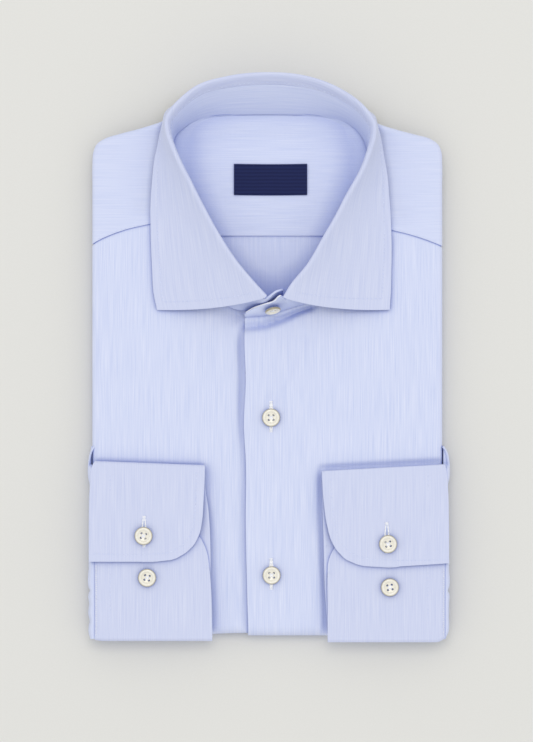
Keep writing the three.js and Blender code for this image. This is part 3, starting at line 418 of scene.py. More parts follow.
COLLAR = table(
    "neck base roll_x roll_y roll_z edge_x edge_y edge_z bend",
    (1.45, 15.9, -1.8, 38.7, 37.6, -70.5, 30, 16.2, 5), (2.6, 15.9, -9.2, 46.9, 37.8, -72.6, 40, 16.2, 3),
    (3.8, 15.9, -19.6, 59.4, 38.4, -73.6, 56, 16.2, 1), (5.1, 15.9, -32.3, 78.9, 39, -74.4, 76, 16.2, 0),
    (6.2, 15.9, -41.1, 95.2, 39.6, -74.6, 94, 16.2, 0),
    (7.4, 15.9, -49.5, 112.1, 40.2, -73.6, 110, 16.2, 0),
    (8.3, 15.9, -54.8, 122.7, 40.6, -72.2, 123.5, 16.2, 0),
    (9.2, 15.9, -59.5, 133.8, 41, -70, 133.5, 16.3, 0),
    (10.2, 15.9, -61.9, 142, 41.3, -68.3, 141.6, 16.3, 0),
    (11, 15.9, -62.2, 147.6, 41.6, -66.8, 147.4, 16.1, 0),
    (11.9, 15.8, -59.4, 152.6, 42, -65.6, 153.6, 12, 0), (13, 15, -52.4, 160, 42.4, -59, 159.6, 8, 0),
    (14.2, 14.2, -43.9, 166.4, 42.7, -48.4, 165.4, 6, 0),
    (15.9, 13.6, -25.6, 172, 43, -27.4, 170.4, 5, 0), (17, 13.5, -2, 174.4, 43, -2, 172.6, 5, 0),
    (17.9, 13.6, 20.6, 172.6, 43, 21.8, 170.8, 5, 0),
    (18.7, 13.8, 33.8, 168.9, 42.8, 36.6, 167.4, 5.4, 0),
    (19.5, 14.4, 45.3, 163.4, 42.6, 49.6, 162.2, 6, 0), (20.3, 15.2, 54.5, 157, 42.3, 60, 157, 8, 0),
    (21, 15.8, 60.8, 150.2, 42, 66.8, 151.6, 12, 0), (21.8, 15.9, 63.8, 145, 41.6, 68, 146, 16.1, 0),
    (22.5, 15.9, 63.8, 138.6, 41.3, 70, 138.6, 16.3, 0), (23.3, 15.9, 61.4, 129.6, 41, 72, 128, 16.3, 0),
    (24.2, 15.9, 57.4, 118.7, 40.6, 74.2, 116, 16.2, 0), (25.3, 15.9, 48, 101.5, 40, 75.6, 101, 16.2, 0),
    (26.3, 15.9, 41, 87.8, 39.6, 76.6, 87, 16.2, 0), (27.3, 15.9, 34.2, 75.9, 39, 77.1, 73, 16.2, 0),
    (28.6, 15.9, 24.2, 58.5, 38.4, 77, 57, 16.2, 1), (30.1, 15.9, 13.7, 45.4, 37.8, 76.6, 41, 16.2, 3),
    (31.4, 15.9, 9.2, 37.8, 37.4, 75.9, 30.1, 16.2, 5),
)


def neck_at(row):
    """The place of the neck seam at a row of its table, or between two rows."""
    rows = np.arange(len(NECK_SEAM["x"]))
    return curve(rows, NECK_SEAM["x"], row), curve(rows, NECK_SEAM["y"], row)


def seam_y(x):
    """The place of the shoulder seams along y at x."""
    return curve(YOKE_SEAM["x"], YOKE_SEAM["y"], x, guarded=True)

# %% [markdown]
# Each front is one length of cloth. It runs from under the stack round the bottom fold and up the top to
# the neck and the shoulder seam, and at the side it rolls round the stack into the groove. Both fronts
# take their height from the same creases, so the overlap never sinks through the underlap. A crease is a
# height, a width and a line of points.

# %% Creases of the fronts
FRONT_CREASES = [
    (-2.9, 2.5, (-16, 19.4), (-3.2, 20.6), (4.7, 23.4), (12.3, 26.4), (18, 29.6), (26, 32)),
    (-1.2, 4.0, (22, 12), (12, -8), (3, -26)),
    (0.4, 8.0, (-70, 10), (-52, -18), (-44, -50)),
    (-0.4, 9.0, (60, 2), (48, -24), (40, -48)),
    (-0.35, 7.0, (-92, 44), (-84, 8), (-86, -30)),
    (0.35, 9.0, (88, 50), (92, 14), (86, -20)),
    (-0.35, 6.0, (10, -66), (16, -92), (14, -120)),
]
LEAF_EDGE = list(zip(COLLAR["edge_x"], COLLAR["edge_y"]))
PRESSED_LINES = [
    (-0.3, 1.9, (-22, 34.5), (-45, 31.5), *LEAF_EDGE[:10]),
    (-0.3, 1.9, (30, 32.5), (52, 30.5), *LEAF_EDGE[:-11:-1]),
    (-1.3, 1.8, (-111, -65.6), (-39.6, -68.4), (-38.9, -90), (-36.2, -116), (-35.2, -176)),
    (-1.3, 1.8, (110, -65.4), (32.6, -69.6), (32.6, -98), (33.8, -130), (36, -176)),
]
NECK_LINE = list(zip(NECK_SEAM["x"], NECK_SEAM["y"]))


def overlap_edge(y):
    """The place of the overlap's free edge along x at y."""
    return curve(OVERLAP_EDGE["y"], OVERLAP_EDGE["x"], y)


def loose_stretch(y):
    """How loose the overlap's edge lies: 1 between the collar and the first button, and less below it."""
    return 0.25 + 0.75 * ease(y, -62, -18) * ease(-y, -24, -6)


def front_lift(x, y):
    """The height of the fronts over the flat stack, calm under the cuffs, at seams and at buttons."""
    under_cuffs = ease(-y, 60, 72) * ease(abs(x), 30, 40)
    slow = 0.34 * unevenness(x, y, 74, 0.8) + 0.14 * unevenness(x, y, 31, 2.1) - 0.2
    free = ease(seam_y(x) - y, 0, 12) * ease(distance_to(NECK_LINE, x, y), 0.3, 4.5)
    lift = (creases(FRONT_CREASES, x, y) + slow) * (1 - under_cuffs) - 0.3 * under_cuffs
    pressed = creases(PRESSED_LINES, x, y) * ease(seam_y(x) - y, 0, 6)
    return (lift * free + pressed) * away_from_buttons(x, y)


SPRING, SPRING_WIDTH = 0.8, 6
UNDERLAP_TOP, COLLAR_HOLLOW = 0.6, 3.2


def overlap_lift(x, y):
    """The overlap's free edge springs up where nothing holds it."""
    near_edge = np.exp(-((x - overlap_edge(y)) / SPRING_WIDTH) ** 2)
    return front_lift(x, y) + SPRING * loose_stretch(y) * near_edge


def underlap_lift(x, y):
    """Beside the overlap's edge the underlap sinks in a long soft hollow, deepest under the collar."""
    loose = loose_stretch(y)
    beside = np.exp(-((x - overlap_edge(y) + 1.2 + 0.8 * loose) / (1.2 + 1.2 * loose)) ** 2)
    under_collar = np.exp(-((x + 14) / 12) ** 2) * ease(y, 18, 28)
    hollow = np.maximum((0.5 + 1.5 * loose) * beside, COLLAR_HOLLOW * under_collar)
    covered = ease(x, -18, -13)
    lift = np.minimum(front_lift(x, y), UNDERLAP_TOP) * (0.3 + 0.7 * covered)
    return lift - hollow * (1 - covered) - 0.3 * covered

# %% The two fronts
FRONT_ACROSS = 0.82, 0.94  # shares of the width where the side fold begins and ends
FRONT_ALONG = 0.12, 0.2, 0.76  # of the length, where the bottom fold begins and ends and the neck begins


def front(side, edge, neck, sunk, lift):
    """The form of a front. edge gives its inner edge at y, neck its neck seam, sunk and lift its height."""
    turn_x = STACK_CENTRE_X + side * (HALF_WIDTH - EDGE_RADIUS)
    neck_rows = travelled(neck["x"], neck["y"])
    neck_start, neck_end = neck["y"][0], neck["y"][-1]

    def form(u, v):
        flat, bend, reach = parts(u, *FRONT_ACROSS)
        under, turn, over, top = parts(v, *FRONT_ALONG)
        y = TAIL_END_Y + (BOTTOM_FOLD_Y - TAIL_END_Y) * under + (neck_start - BOTTOM_FOLD_Y) * over
        start = edge(y)
        row = top * neck_rows[-1]
        start = np.where(top > 0, curve(neck_rows, neck["x"], row), start)
        x = blend(start, turn_x, flat)
        climb = (curve(neck_rows, neck["y"], row) - neck_start) / (neck_end - neck_start)
        seam = seam_y(x + side * EDGE_RADIUS * np.sin(math.pi * bend))
        y = np.where(top > 0, blend(neck_start, seam + SEAM_TUCK, climb), y)
        tucked = 1 - ease(seam - y, -0.6, 1.4)
        out = EDGE_RADIUS - sunk(x) - SEAM_DEPTH * tucked
        across = x + side * (math.pi * EDGE_RADIUS * bend + GROOVE_REACH * reach)
        x = x + side * (out * np.sin(math.pi * bend) - GROOVE_REACH * reach)
        level = out * np.cos(math.pi * bend)
        angle = math.pi * turn
        length = (TAIL_END_Y - BOTTOM_FOLD_Y) * under + math.pi * TURN_HEIGHT * turn
        length = length + (neck_start - BOTTOM_FOLD_Y) * over + (y - neck_start) * (top > 0)
        z = TURN_HEIGHT - (TURN_RADIUS + level) * np.cos(angle)
        on_top = ease(turn, 0.6, 1) * (1 - bend) ** 2 * (1 - reach)
        z = z + lift(x, y) * on_top
        y = y - (TURN_RADIUS + level) * np.sin(angle)
        return np.column_stack([x, y, z, across, length])
    return form


LEFT_FRONT_NECK = table(
    "x y", (-15.2, 25.4), (-1, 26.9), (10.4, 30.4), (19.5, 33.0), (28, 36.6), (38.4, 44.6), (47.6, 56.6),
    (54.2, 70), (58.8, 84))
RIGHT_FRONT_NECK = table(
    "x y", (12, 26.2), (-14.5, 29.2), (-25, 33.2), (-37, 43.6), (-46.5, 57), (-53, 73), (-57, 88))

front_right = cloth(
    "front_right_cloth",
    front(-1, lambda y: np.full(np.shape(y), UNDERLAP_EDGE_X), RIGHT_FRONT_NECK,
          lambda x: UNDERLAP_DEPTH * ease(x, -60, -18), underlap_lift),
    110, 240, CLOTH_WALL, turned=True)
dress(front_right, "front_right", rests_on=["folded_layers"])
front_left = cloth(
    "front_left_cloth", front(1, overlap_edge, LEFT_FRONT_NECK, lambda x: 0 * x, overlap_lift),
    110, 240, CLOTH_WALL, rim=0.45, rounds=3)
dress(front_left, "front_left", rests_on=["front_right_cloth", "folded_layers"])

# %% [markdown]
# The outer yoke lies over the shoulders from the two forward seams and turns under at the back. Its rows
# follow the shoulder fold, and each row names the place on the neck seam that its cloth comes from.

# %% The outer yoke
SHOULDER_FOLD = table(
    "x y neck radius under",
    (-111.5, 71.2, 7, 3.2, 5), (-111.5, 90, 7.5, 3.2, 5), (-111.5, 108, 8, 3.2, 5),
    (-111.5, 122, 8.4, 3.2, 5), (-110.9, 129.6, 8.8, 3.2, 5), (-108.8, 134.6, 9.1, 3.2, 5),
    (-104.2, 137.9, 9.4, 3.2, 6), (-94, 141.2, 9.7, 3.2, 9), (-82, 144.4, 10.1, 3.2, 14),
    (-71, 147.8, 10.5, 3.2, 20), (-60, 152, 11.1, 3.1, 28), (-49, 155, 12.9, 2.8, 36),
    (-30, 156.4, 15.5, 2, 42), (-10, 156.8, 16.6, 1.9, 44), (10, 156.8, 17.4, 1.9, 44),
    (30, 156.4, 18.4, 2, 42), (49, 155, 20, 2.8, 36), (60, 151.6, 21.1, 3.1, 28),
    (70, 147.2, 21.9, 3.2, 20), (80, 144, 22.3, 3.2, 14), (92, 140.8, 22.8, 3.2, 9),
    (102, 137.9, 23.2, 3.2, 6), (106.8, 134.4, 23.6, 3.2, 5), (108.8, 129.6, 23.9, 3.2, 5),
    (109.3, 122, 24.2, 3.2, 5), (109.3, 108, 24.6, 3.2, 5), (109.3, 90, 25.1, 3.2, 5),
    (109.3, 69.9, 26, 3.2, 5),
)
SHOULDER_CREASES = [
    (-0.5, 7.0, (-78, 128), (-84, 108), (-80, 92)),
    (0.4, 9.0, (-98, 124), (-96, 102), (-100, 84)),
    (-0.5, 7.0, (82, 126), (88, 106), (84, 90)),
    (0.35, 9.0, (100, 120), (98, 98), (96, 80)),
    (-1.6, 7.5, (-70, 139), (-73, 124), (-76, 104), (-78, 90)),
    (-1.6, 7.5, (71, 138), (74, 122), (78, 102), (80, 88)),
]
SHOULDER_ROWS = travelled(SHOULDER_FOLD["x"], SHOULDER_FOLD["y"])
YOKE_ACROSS = 0.66, 0.82  # shares of its width where the shoulder fold begins and ends
YOKE_FOLD_RUN = 9
NECK_CENTRE_Y = 100
DRAWN_TO_SEAM = 24  # how far from the seam the sections are still drawn to it


def yoke_section(u, place):
    """The yoke at shares u of its section that lies at a place along the shoulder fold."""
    fold = SHOULDER_FOLD
    at = {name: curve(SHOULDER_ROWS, fold[name], place, guarded=name not in "xy") for name in fold}
    dx = curve(SHOULDER_ROWS, fold["x"], place + 0.5) - curve(SHOULDER_ROWS, fold["x"], place - 0.5)
    dy = curve(SHOULDER_ROWS, fold["y"], place + 0.5) - curve(SHOULDER_ROWS, fold["y"], place - 0.5)
    length = np.hypot(dx, dy)
    out_x, out_y = -dy / length, dx / length
    neck_x, neck_y = neck_at(at["neck"])
    away = np.hypot(neck_x, neck_y - NECK_CENTRE_Y)
    neck_x, neck_y = neck_x + GAP * neck_x / away, neck_y + GAP * (neck_y - NECK_CENTRE_Y) / away
    radius = at["radius"]
    centre_x, centre_y = at["x"] - out_x * radius, at["y"] - out_y * radius
    flat, bend, reach = parts(u, *YOKE_ACROSS)
    round_out = radius * np.sin(math.pi * bend)
    inward = ease(at["under"], 6, 14)
    under_x, under_y = -out_x * (1 - inward), -out_y * (1 - inward) - inward
    x = blend(neck_x, centre_x, flat) + out_x * round_out + under_x * at["under"] * reach
    y = blend(neck_y, centre_y, flat) + out_y * round_out + under_y * at["under"] * reach
    return x, y, UPPER_LOW + radius + radius * np.cos(math.pi * bend)


def outer_yoke(u, v):
    """The form of the yoke, whose two ends are drawn to the shoulder seams."""
    place = v * SHOULDER_ROWS[-1]
    x, y, z = yoke_section(u, place)
    nearer_end = np.where(v < 0.5, 0, SHOULDER_ROWS[-1])
    end_x, end_y, _ = yoke_section(u, nearer_end)
    drawn = np.clip(1 - abs(place - nearer_end) / DRAWN_TO_SEAM, 0, 1) ** 2
    y = y + (seam_y(end_x) - end_y) * drawn
    _, bend, reach = parts(u, *YOKE_ACROSS)
    on_top = (1 - bend) * (1 - reach) * ease(-y, -150, -138)
    slow = 0.3 * unevenness(x, y, 60, 4.4) - 0.3
    z = z + (creases(SHOULDER_CREASES, x, y) + slow) * on_top * ease(y - seam_y(x), 0, 12)
    z = z + creases(PRESSED_LINES, x, y) * on_top * ease(y - seam_y(x), 0, 6)
    return np.column_stack([x, y, z, y, x + YOKE_FOLD_RUN * bend])


yoke_outer = cloth("yoke_outer_cloth", outer_yoke, 70, 200, CLOTH_WALL, turned=True, weave="faint")
dress(yoke_outer, "yoke_outer", rests_on=["folded_layers"])

# %% [markdown]
# Inside the neck the inner yoke and the back lie on the folded layers. Their edges climb to the neck seam,
# where the collar band is sewn on. The yoke is cut across, so its hairlines run from side to side.

# %% The inner yoke and the back
FLOOR_Z = 11.3
YOKE_END_Y = 77.5
INNER_YOKE_WALL, BACK_WALL = 0.9, 0.8
NECK_CLEARANCE = 0.2
SIDE_CLIMB, SIDE_WIDTH, BACK_CLIMB = 3.6, 6, 1.9
NECK_LEFT = {name: NECK_SEAM[name][NECK_FRONT_ROWS[0]:NECK_BACK_ROW + 1] for name in "xy"}
NECK_RIGHT = {name: NECK_SEAM[name][NECK_FRONT_ROWS[1]:NECK_BACK_ROW - 1:-1] for name in "xy"}


def neck_sides(y):
    """The left and right ends of the neck's floor at y."""
    left = curve(NECK_LEFT["y"], NECK_LEFT["x"], y, guarded=True) + NECK_CLEARANCE
    right = curve(NECK_RIGHT["y"], NECK_RIGHT["x"], y, guarded=True) - NECK_CLEARANCE
    return left, right


def neck_floor(x, y):
    """The height of the cloth inside the neck, which climbs to the seam of the band."""
    left, right = neck_sides(y)
    to_side = np.minimum(x - left, right - x)
    climb = SIDE_CLIMB * np.exp(-(to_side / SIDE_WIDTH) ** 2) * ease(y, 60, 100)
    back = BACK_CLIMB * ease(y, 136, 151)
    slow = 0.26 * unevenness(x, y, 58, 6.2) + 0.1 * unevenness(x, y, 27, 1.4)
    return FLOOR_Z + np.maximum(climb, back) + slow * ease(152 - y, 2, 20)


def neck_panel(low, high, crosswise=False, sunk=0):
    """The form of a panel on the floor of the neck opening between two places along y. A crosswise one is
    cut with its warp from side to side, and sunk is how far it lies below the floor."""
    def form(u, v):
        y = blend(low, high, v)
        left, right = neck_sides(y)
        x = blend(left, right, u)
        across, along = (y, x) if crosswise else (x, y)
        return np.column_stack([x, y, neck_floor(x, y) - sunk, across, along])
    return form


yoke_inner = cloth(
    "yoke_inner_cloth", neck_panel(YOKE_END_Y - 0.6, 153.3, crosswise=True), 84, 60, INNER_YOKE_WALL,
    weave="inner")
dress(yoke_inner, "yoke_inner", held="laid", rests_on=["folded_layers"])
back_panel = cloth(
    "back_panel_cloth", neck_panel(33, YOKE_END_Y + 3, sunk=INNER_YOKE_WALL), 84, 36, BACK_WALL,
    weave="inner")
dress(back_panel, "back_panel", held="laid", rests_on=["folded_layers"])

# %% [markdown]
# The woven label is a small rectangle, folded under at both ends and laid on the inner yoke below the
# band. It takes its height from the yoke, so it follows every unevenness, and its ends curl up a little.

# %% The label
LABEL_LOW, LABEL_HIGH = (np.array(corner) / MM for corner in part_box("label"))
LABEL_WALL = 0.5
LABEL_LIFT, LABEL_CURL, LABEL_BOW = 0.65, 0.25, 0.25


def label_form(u, v):
    """The form of the label, which lies on the floor of the neck."""
    x = blend(LABEL_LOW[0], LABEL_HIGH[0], u)
    y = blend(LABEL_LOW[1], LABEL_HIGH[1], v) - LABEL_BOW * np.sin(math.pi * u)
    curl = LABEL_CURL * (2 * abs(u - 0.5)) ** 6
    return np.column_stack([x, y, neck_floor(x, y) + LABEL_LIFT + curl, x, y])


label = cloth("label_damask", label_form, 60, 28, LABEL_WALL, rim=0.15, weave="damask")
dress(label, "label", slot="label", held="laid", rests_on=["yoke_inner_cloth"])

# %% [markdown]
# The collar is two pieces. The band stands on the neck seam and buttons at the front. The leaf is sewn to
# the top of the band, rises a little, rolls over and falls to its edge. The collar's table has a row for
# each section round the neck, from the wearer's right point to the left one. The leaf's section is a curve:
# up from the seam, over the crest on a Bezier arc, and down on a curve that flattens towards the edge.

# %% Sections of the collar
BAND_SHARE = 0.82
ROLL_ROWS = travelled(COLLAR["roll_x"], COLLAR["roll_y"])


def collar_at(place):
    """The seam, the roll's crest, the leaf's edge and the outward direction at places along the roll."""
    at = {name: curve(ROLL_ROWS, COLLAR[name], place) for name in COLLAR}
    dx = curve(ROLL_ROWS, COLLAR["roll_x"], place + 2) - curve(ROLL_ROWS, COLLAR["roll_x"], place - 2)
    dy = curve(ROLL_ROWS, COLLAR["roll_y"], place + 2) - curve(ROLL_ROWS, COLLAR["roll_y"], place - 2)
    length = np.hypot(dx, dy)
    seam = np.column_stack([*neck_at(at["neck"]), at["base"]])
    roll = np.column_stack([at["roll_x"], at["roll_y"], at["roll_z"]])
    edge = np.column_stack([at["edge_x"], at["edge_y"], at["edge_z"]])
    outward = np.column_stack([-dy / length, dx / length, 0 * dx])
    return seam, roll, edge, outward, at["bend"]

# %% The collar leaf
CREST_START, FALL_START = 0.07, 0.2  # shares of its section where the crest and the fall begin
CREST_RISE, CREST_OUT, CREST_UP, ROLL_HANDLE = 2.2, 2.6, 0.4, 3.2
CREST_RUN, INSIDE_RUN = 6.0, 3.0
EDGE_ROWS = travelled(COLLAR["edge_x"], COLLAR["edge_y"])


def leaf_fall(over, edge, bend, share):
    """The outer run of the leaf, from beside the crest down to its edge."""
    rest = (1 - share)[:, None]
    share = share[:, None]
    control = blend(over, edge, 0.42)
    control[:, 1] -= bend
    fallen = over * rest ** 2 + control * 2 * share * rest + edge * share ** 2
    fallen[:, 2] = edge[:, 2] + (over - edge)[:, 2] * rest[:, 0] ** 1.35
    return fallen


def arc(start, leaving, arriving, end, t):
    """A point at t on the Bezier arc between two points, each with its handle."""
    early = (1 - t) ** 3 * start + 3 * t * (1 - t) ** 2 * leaving
    return early + 3 * t * t * (1 - t) * arriving + t ** 3 * end


def leaf(u, v):
    """The form of the leaf: u goes round the neck and v goes from its seam over the crest to its edge."""
    place = u * ROLL_ROWS[-1]
    seam, roll, edge, outward, bend = collar_at(place)
    down = seam - roll
    height = np.linalg.norm(down, axis=1)[:, None]
    start = roll + down * (1 - BAND_SHARE - 0.2 * GAP / height)
    rise = roll + down * CREST_RISE / height
    over = roll + outward * CREST_OUT + [0, 0, CREST_UP]
    inside, crest, fall = parts(v, CREST_START, FALL_START)
    first = leaf_fall(over, edge, bend, np.full(len(u), 0.02)) - over
    first = first / np.linalg.norm(first, axis=1)[:, None]
    c = crest[:, None]
    rolled = arc(rise, rise - down / height * ROLL_HANDLE, over - first * ROLL_HANDLE, over, c)
    p = np.where(c > 0, rolled, blend(start, rise, inside[:, None]))
    p = np.where(fall[:, None] > 0, leaf_fall(over, edge, bend, fall), p)
    reach = np.linalg.norm(edge - over, axis=1)
    slow = 0.55 * unevenness(p[:, 0], p[:, 1], 66, 3.3) + 0.15
    slow = slow * ease(fall, 0, 0.3) * ease(1 - fall, 0, 0.5)
    p[:, 2] += slow * ease(reach, 20, 50)
    from_edge = reach * (1 - fall) + CREST_RUN * (1 - crest) + INSIDE_RUN * (1 - inside)
    along_edge = curve(ROLL_ROWS, EDGE_ROWS, place)
    return np.column_stack([p, from_edge, along_edge])


collar_leaf = cloth(
    "collar_leaf_cloth", leaf, 280, 76, COLLAR_WALL, offset=0, rim=0.45, rounds=3, weave="fused")
dress(collar_leaf, "collar_leaf", rests_on=["collar_band_cloth", "front_left_cloth", "front_right_cloth"])

# %% [markdown]
# The band goes on past the roll at both front ends: under at the wearer's right, over at the left, where
# its rounded end is buttoned. Between them its top follows the leaf's seam.

# %% The collar band
BAND_WIDTH = 24
BULGE_FORWARD, BULGE_UP = 0.87, 0.5
BAND_ENDS = {
    "under": table("x y z top_x top_y top_z bulge",
                   (9, 34.2, 15.9, 8.6, 42.6, 32, 0), (3, 32.2, 15.9, 5, 41.6, 33.6, 0)),
    "over": table("x y z top_x top_y top_z bulge",
                  (10.4, 30.8, 15.3, 7, 38.6, 34, 0.6), (4, 28.8, 15, 3, 35.4, 31, 1.1),
                  (-3, 27, 15, -4, 33.2, 29, 1.1), (-9.6, 26.4, 15, -10.2, 31, 25.6, 0.8),
                  (-13.4, 26, 15.1, -14, 28.8, 21, 0.4), (-15.2, 26, 15.4, -15.4, 27.8, 19.2, 0)),
}


def band_rows():
    """All the sections of the band in one table: its ends and the collar's own sections between them."""
    seam, roll, _, _, _ = collar_at(ROLL_ROWS)
    top = blend(seam, roll, BAND_SHARE)
    middle = np.column_stack([seam, top, 0 * seam[:, 0]])
    under, over = (np.column_stack(list(end.values())) for end in BAND_ENDS.values())
    rows = np.concatenate([under, middle, over]).T
    return dict(zip(BAND_ENDS["under"], rows))


BAND = band_rows()
BAND_ROWS = travelled(BAND["top_x"], BAND["top_y"], BAND["top_z"])


def band(u, v):
    """The form of the band: u goes round the neck and v goes from the neck seam to its top."""
    place = u * BAND_ROWS[-1]
    at = {name: curve(BAND_ROWS, BAND[name], place, guarded=True) for name in BAND}
    out = at["bulge"] * np.sin(math.pi * v)
    x = blend(at["x"], at["top_x"], v)
    y = blend(at["y"], at["top_y"], v) - BULGE_FORWARD * out
    z = blend(at["z"], at["top_z"], v) + BULGE_UP * out
    return np.column_stack([x, y, z, BAND_WIDTH * v, place])


collar_band = cloth("collar_band_cloth", band, 300, 22, COLLAR_WALL, offset=0, weave="inner")
dress(collar_band, "collar_stand", rests_on=["front_left_cloth", "yoke_outer_cloth"])

# %% [markdown]
# Each cuff is one strip that is folded flat into a loop. It starts at the end with the round corner, goes
# up to the top fold, down its under layer to the bottom fold, and up again to the end that tucks under.

# %% The cuffs
CUFF_TABLE = "y z seam wrist"
RIGHT_CUFF = table(
    CUFF_TABLE, (-128.4, 19.4, -113.2, -72), (-127.4, 19.4, -113.2, -62), (-124.6, 19.4, -113.2, -55.4),
    (-119.6, 19.3, -113.2, -48.9), (-112.4, 19.2, -113.2, -44.4), (-102, 18.9, -113.1, -42),
    (-88, 18.4, -112.8, -41.1), (-72, 18, -112, -40.4), (-68, 18, -110.6, -40.3),
    (-66.9, 17.5, -109.8, -40.3), (-66.9, 16.5, -109.6, -40.3), (-68, 16, -109.6, -40.3),
    (-80, 16, -109.6, -40.1), (-96, 16, -109.6, -38.1), (-116, 16, -109.6, -37),
    (-140, 16, -109.6, -36.6), (-176.8, 16, -109.6, -35.7), (-177.8, 16.5, -109.6, -35.7),
    (-177.8, 17.3, -109.6, -35.7), (-176.8, 17.8, -109.6, -35.7), (-160, 17.8, -109.6, -35.9),
    (-144.7, 17.8, -109.6, -36.5), (-132, 17.8, -109.6, -37.6), (-123, 17.7, -109.6, -39),
    (-116.7, 17.6, -109.6, -41.4), (-111.5, 17.5, -109.6, -45), (-108.4, 17.4, -109.6, -50),
)
LEFT_CUFF = table(
    CUFF_TABLE, (-132.2, 19.4, 113.2, 74), (-131.2, 19.4, 113.2, 60.4), (-128.4, 19.4, 113.2, 51.4),
    (-123, 19.3, 113.2, 44.2), (-116, 19.2, 113.2, 39.6), (-106, 18.9, 113.1, 36.6),
    (-92, 18.4, 112.8, 34.6), (-76, 18, 112, 33.5), (-71, 18, 111.2, 33.3), (-69.7, 17.5, 110.8, 33.3),
    (-69.7, 16.5, 110.6, 33.3), (-71, 16, 110.6, 33.3), (-84, 16, 110.6, 33.4), (-98, 16, 110.6, 33.8),
    (-116, 16, 110.6, 34.4), (-142, 16, 110.6, 35), (-177.6, 16, 110.6, 36.9),
    (-178.6, 16.5, 110.6, 36.9), (-178.6, 17.3, 110.6, 36.9), (-177.6, 17.8, 110.6, 36.9),
    (-160, 17.8, 110.6, 36.9), (-146, 17.8, 110.6, 36.7), (-133, 17.8, 110.6, 36.9),
    (-125, 17.7, 110.6, 38.4), (-119.6, 17.6, 110.6, 41.4), (-115, 17.5, 110.6, 45.6),
    (-112.4, 17.4, 110.6, 51),
)
FREE_END_ROWS, UNDER_END_ROWS = range(8), range(19, 25)
FREE_SHARE, UNDER_SHARE = 0.25, 0.9  # shares of the strip where its free end stops and its under end begins
CUFF_TOP_Y = -70.0
EDGE_LIFT, EDGE_WIDTH = 0.8, 4


def cuff(rows, slant, low_slant, corner, seed):
    """The form of a cuff. slant and low_slant lift its top fold and its free end towards the sleeve, and
    corner rounds its bottom fold there."""
    places = travelled(rows["y"], rows["z"])
    width = abs(rows["seam"][0] - rows["wrist"][FREE_END_ROWS[-1]])

    def form(u, v):
        place = v * places[-1]
        at = {name: curve(places, rows[name], place, guarded=True) for name in rows}
        x = blend(at["seam"], at["wrist"], u)
        from_seam, from_wrist = abs(x - at["seam"]), abs(x - at["wrist"])
        y = at["y"] + slant * (0.5 - u) * ease(at["y"], -110, CUFF_TOP_Y)
        near_seam = np.clip(1 - from_seam / width / 0.55, 0, 1)
        y = y + low_slant * near_seam * ease(-at["y"], 100, 126) * (v < FREE_SHARE)
        y = y + corner * np.exp(-(from_seam / 2.6) ** 2) * ease(-at["y"], 172, 177)
        puff = (0.35 + 0.35 * unevenness(x, y, 52, seed)) * away_from_buttons(x, y)
        inside = np.minimum(np.minimum(u, 1 - u) * 5, 1)
        inside = inside * ease(-at["y"], 70, 82) * ease(at["y"], -178, -166)
        from_edge = np.where(v < FREE_SHARE, np.minimum(place, from_wrist), from_wrist)
        raised = EDGE_LIFT * np.exp(-(from_edge / EDGE_WIDTH) ** 2) * (v < UNDER_SHARE)
        raised = raised * ease(-at["y"], 68, 74)
        return np.column_stack([x, y, at["z"] + puff * inside + raised, x, place])
    return form


cuff_right = cloth(
    "cuff_right_cloth", cuff(RIGHT_CUFF, slant=2.6, low_slant=0, corner=0.6, seed=1.9),
    60, 220, CUFF_WALL, offset=0, weave="fused")
dress(cuff_right, "cuff_right", rests_on=["front_right_cloth"])
cuff_left = cloth(
    "cuff_left_cloth", cuff(LEFT_CUFF, slant=4.2, low_slant=2.9, corner=2.2, seed=5.1),
    60, 220, CUFF_WALL, offset=0, turned=True, weave="fused")
dress(cuff_left, "cuff_left", rests_on=["front_left_cloth"])

# %% [markdown]
# Of each sleeve only a narrow strip shows, where it comes out of the groove and round the side fold to
# the seam of its cuff. Loose cloth here is crumpled, so its rows stand out unevenly.

# %% The sleeves
SLEEVE_ROWS = table(
    "y loose into", (-177.0, 0.8, 0), (-174, 1.5, 0), (-169, 1.8, 0), (-165, 1.7, 1.5), (-161, 1.6, 3.5),
    (-155, 1.7, 4), (-149, 1.7, 4), (-147, 1.0, 4), (-145, 1.6, 4), (-132, 1.6, 4), (-110, 1.6, 4),
    (-88, 1.4, 4), (-79, 1.2, 4), (-76, 1.9, 4), (-70, 2.2, 4), (-64, 1.7, 4), (-59, 0.4, 4), (-56, -1.6, 4),
)
SLEEVE_SHOWN, SLEEVE_SEAM_Z, SLEEVE_HIDDEN_Z = 17.8, 17.3, 13.2


def bow(marks, share):
    """A place on a flowing curve through marks, each one an array as long as share."""
    count = len(marks) - 1
    marks = np.array([2 * marks[0] - marks[1], *marks, 2 * marks[-1] - marks[-2]])
    i = np.minimum((share * count).astype(int), count - 1)
    t = share * count - i
    a, b, c, d = (marks[i + k, np.arange(len(share))] for k in range(4))
    square, cube = 2 * a - 5 * b + 4 * c - d, 3 * b - a - 3 * c + d
    return 0.5 * (2 * b + (c - a) * t + square * t * t + cube * t ** 3)


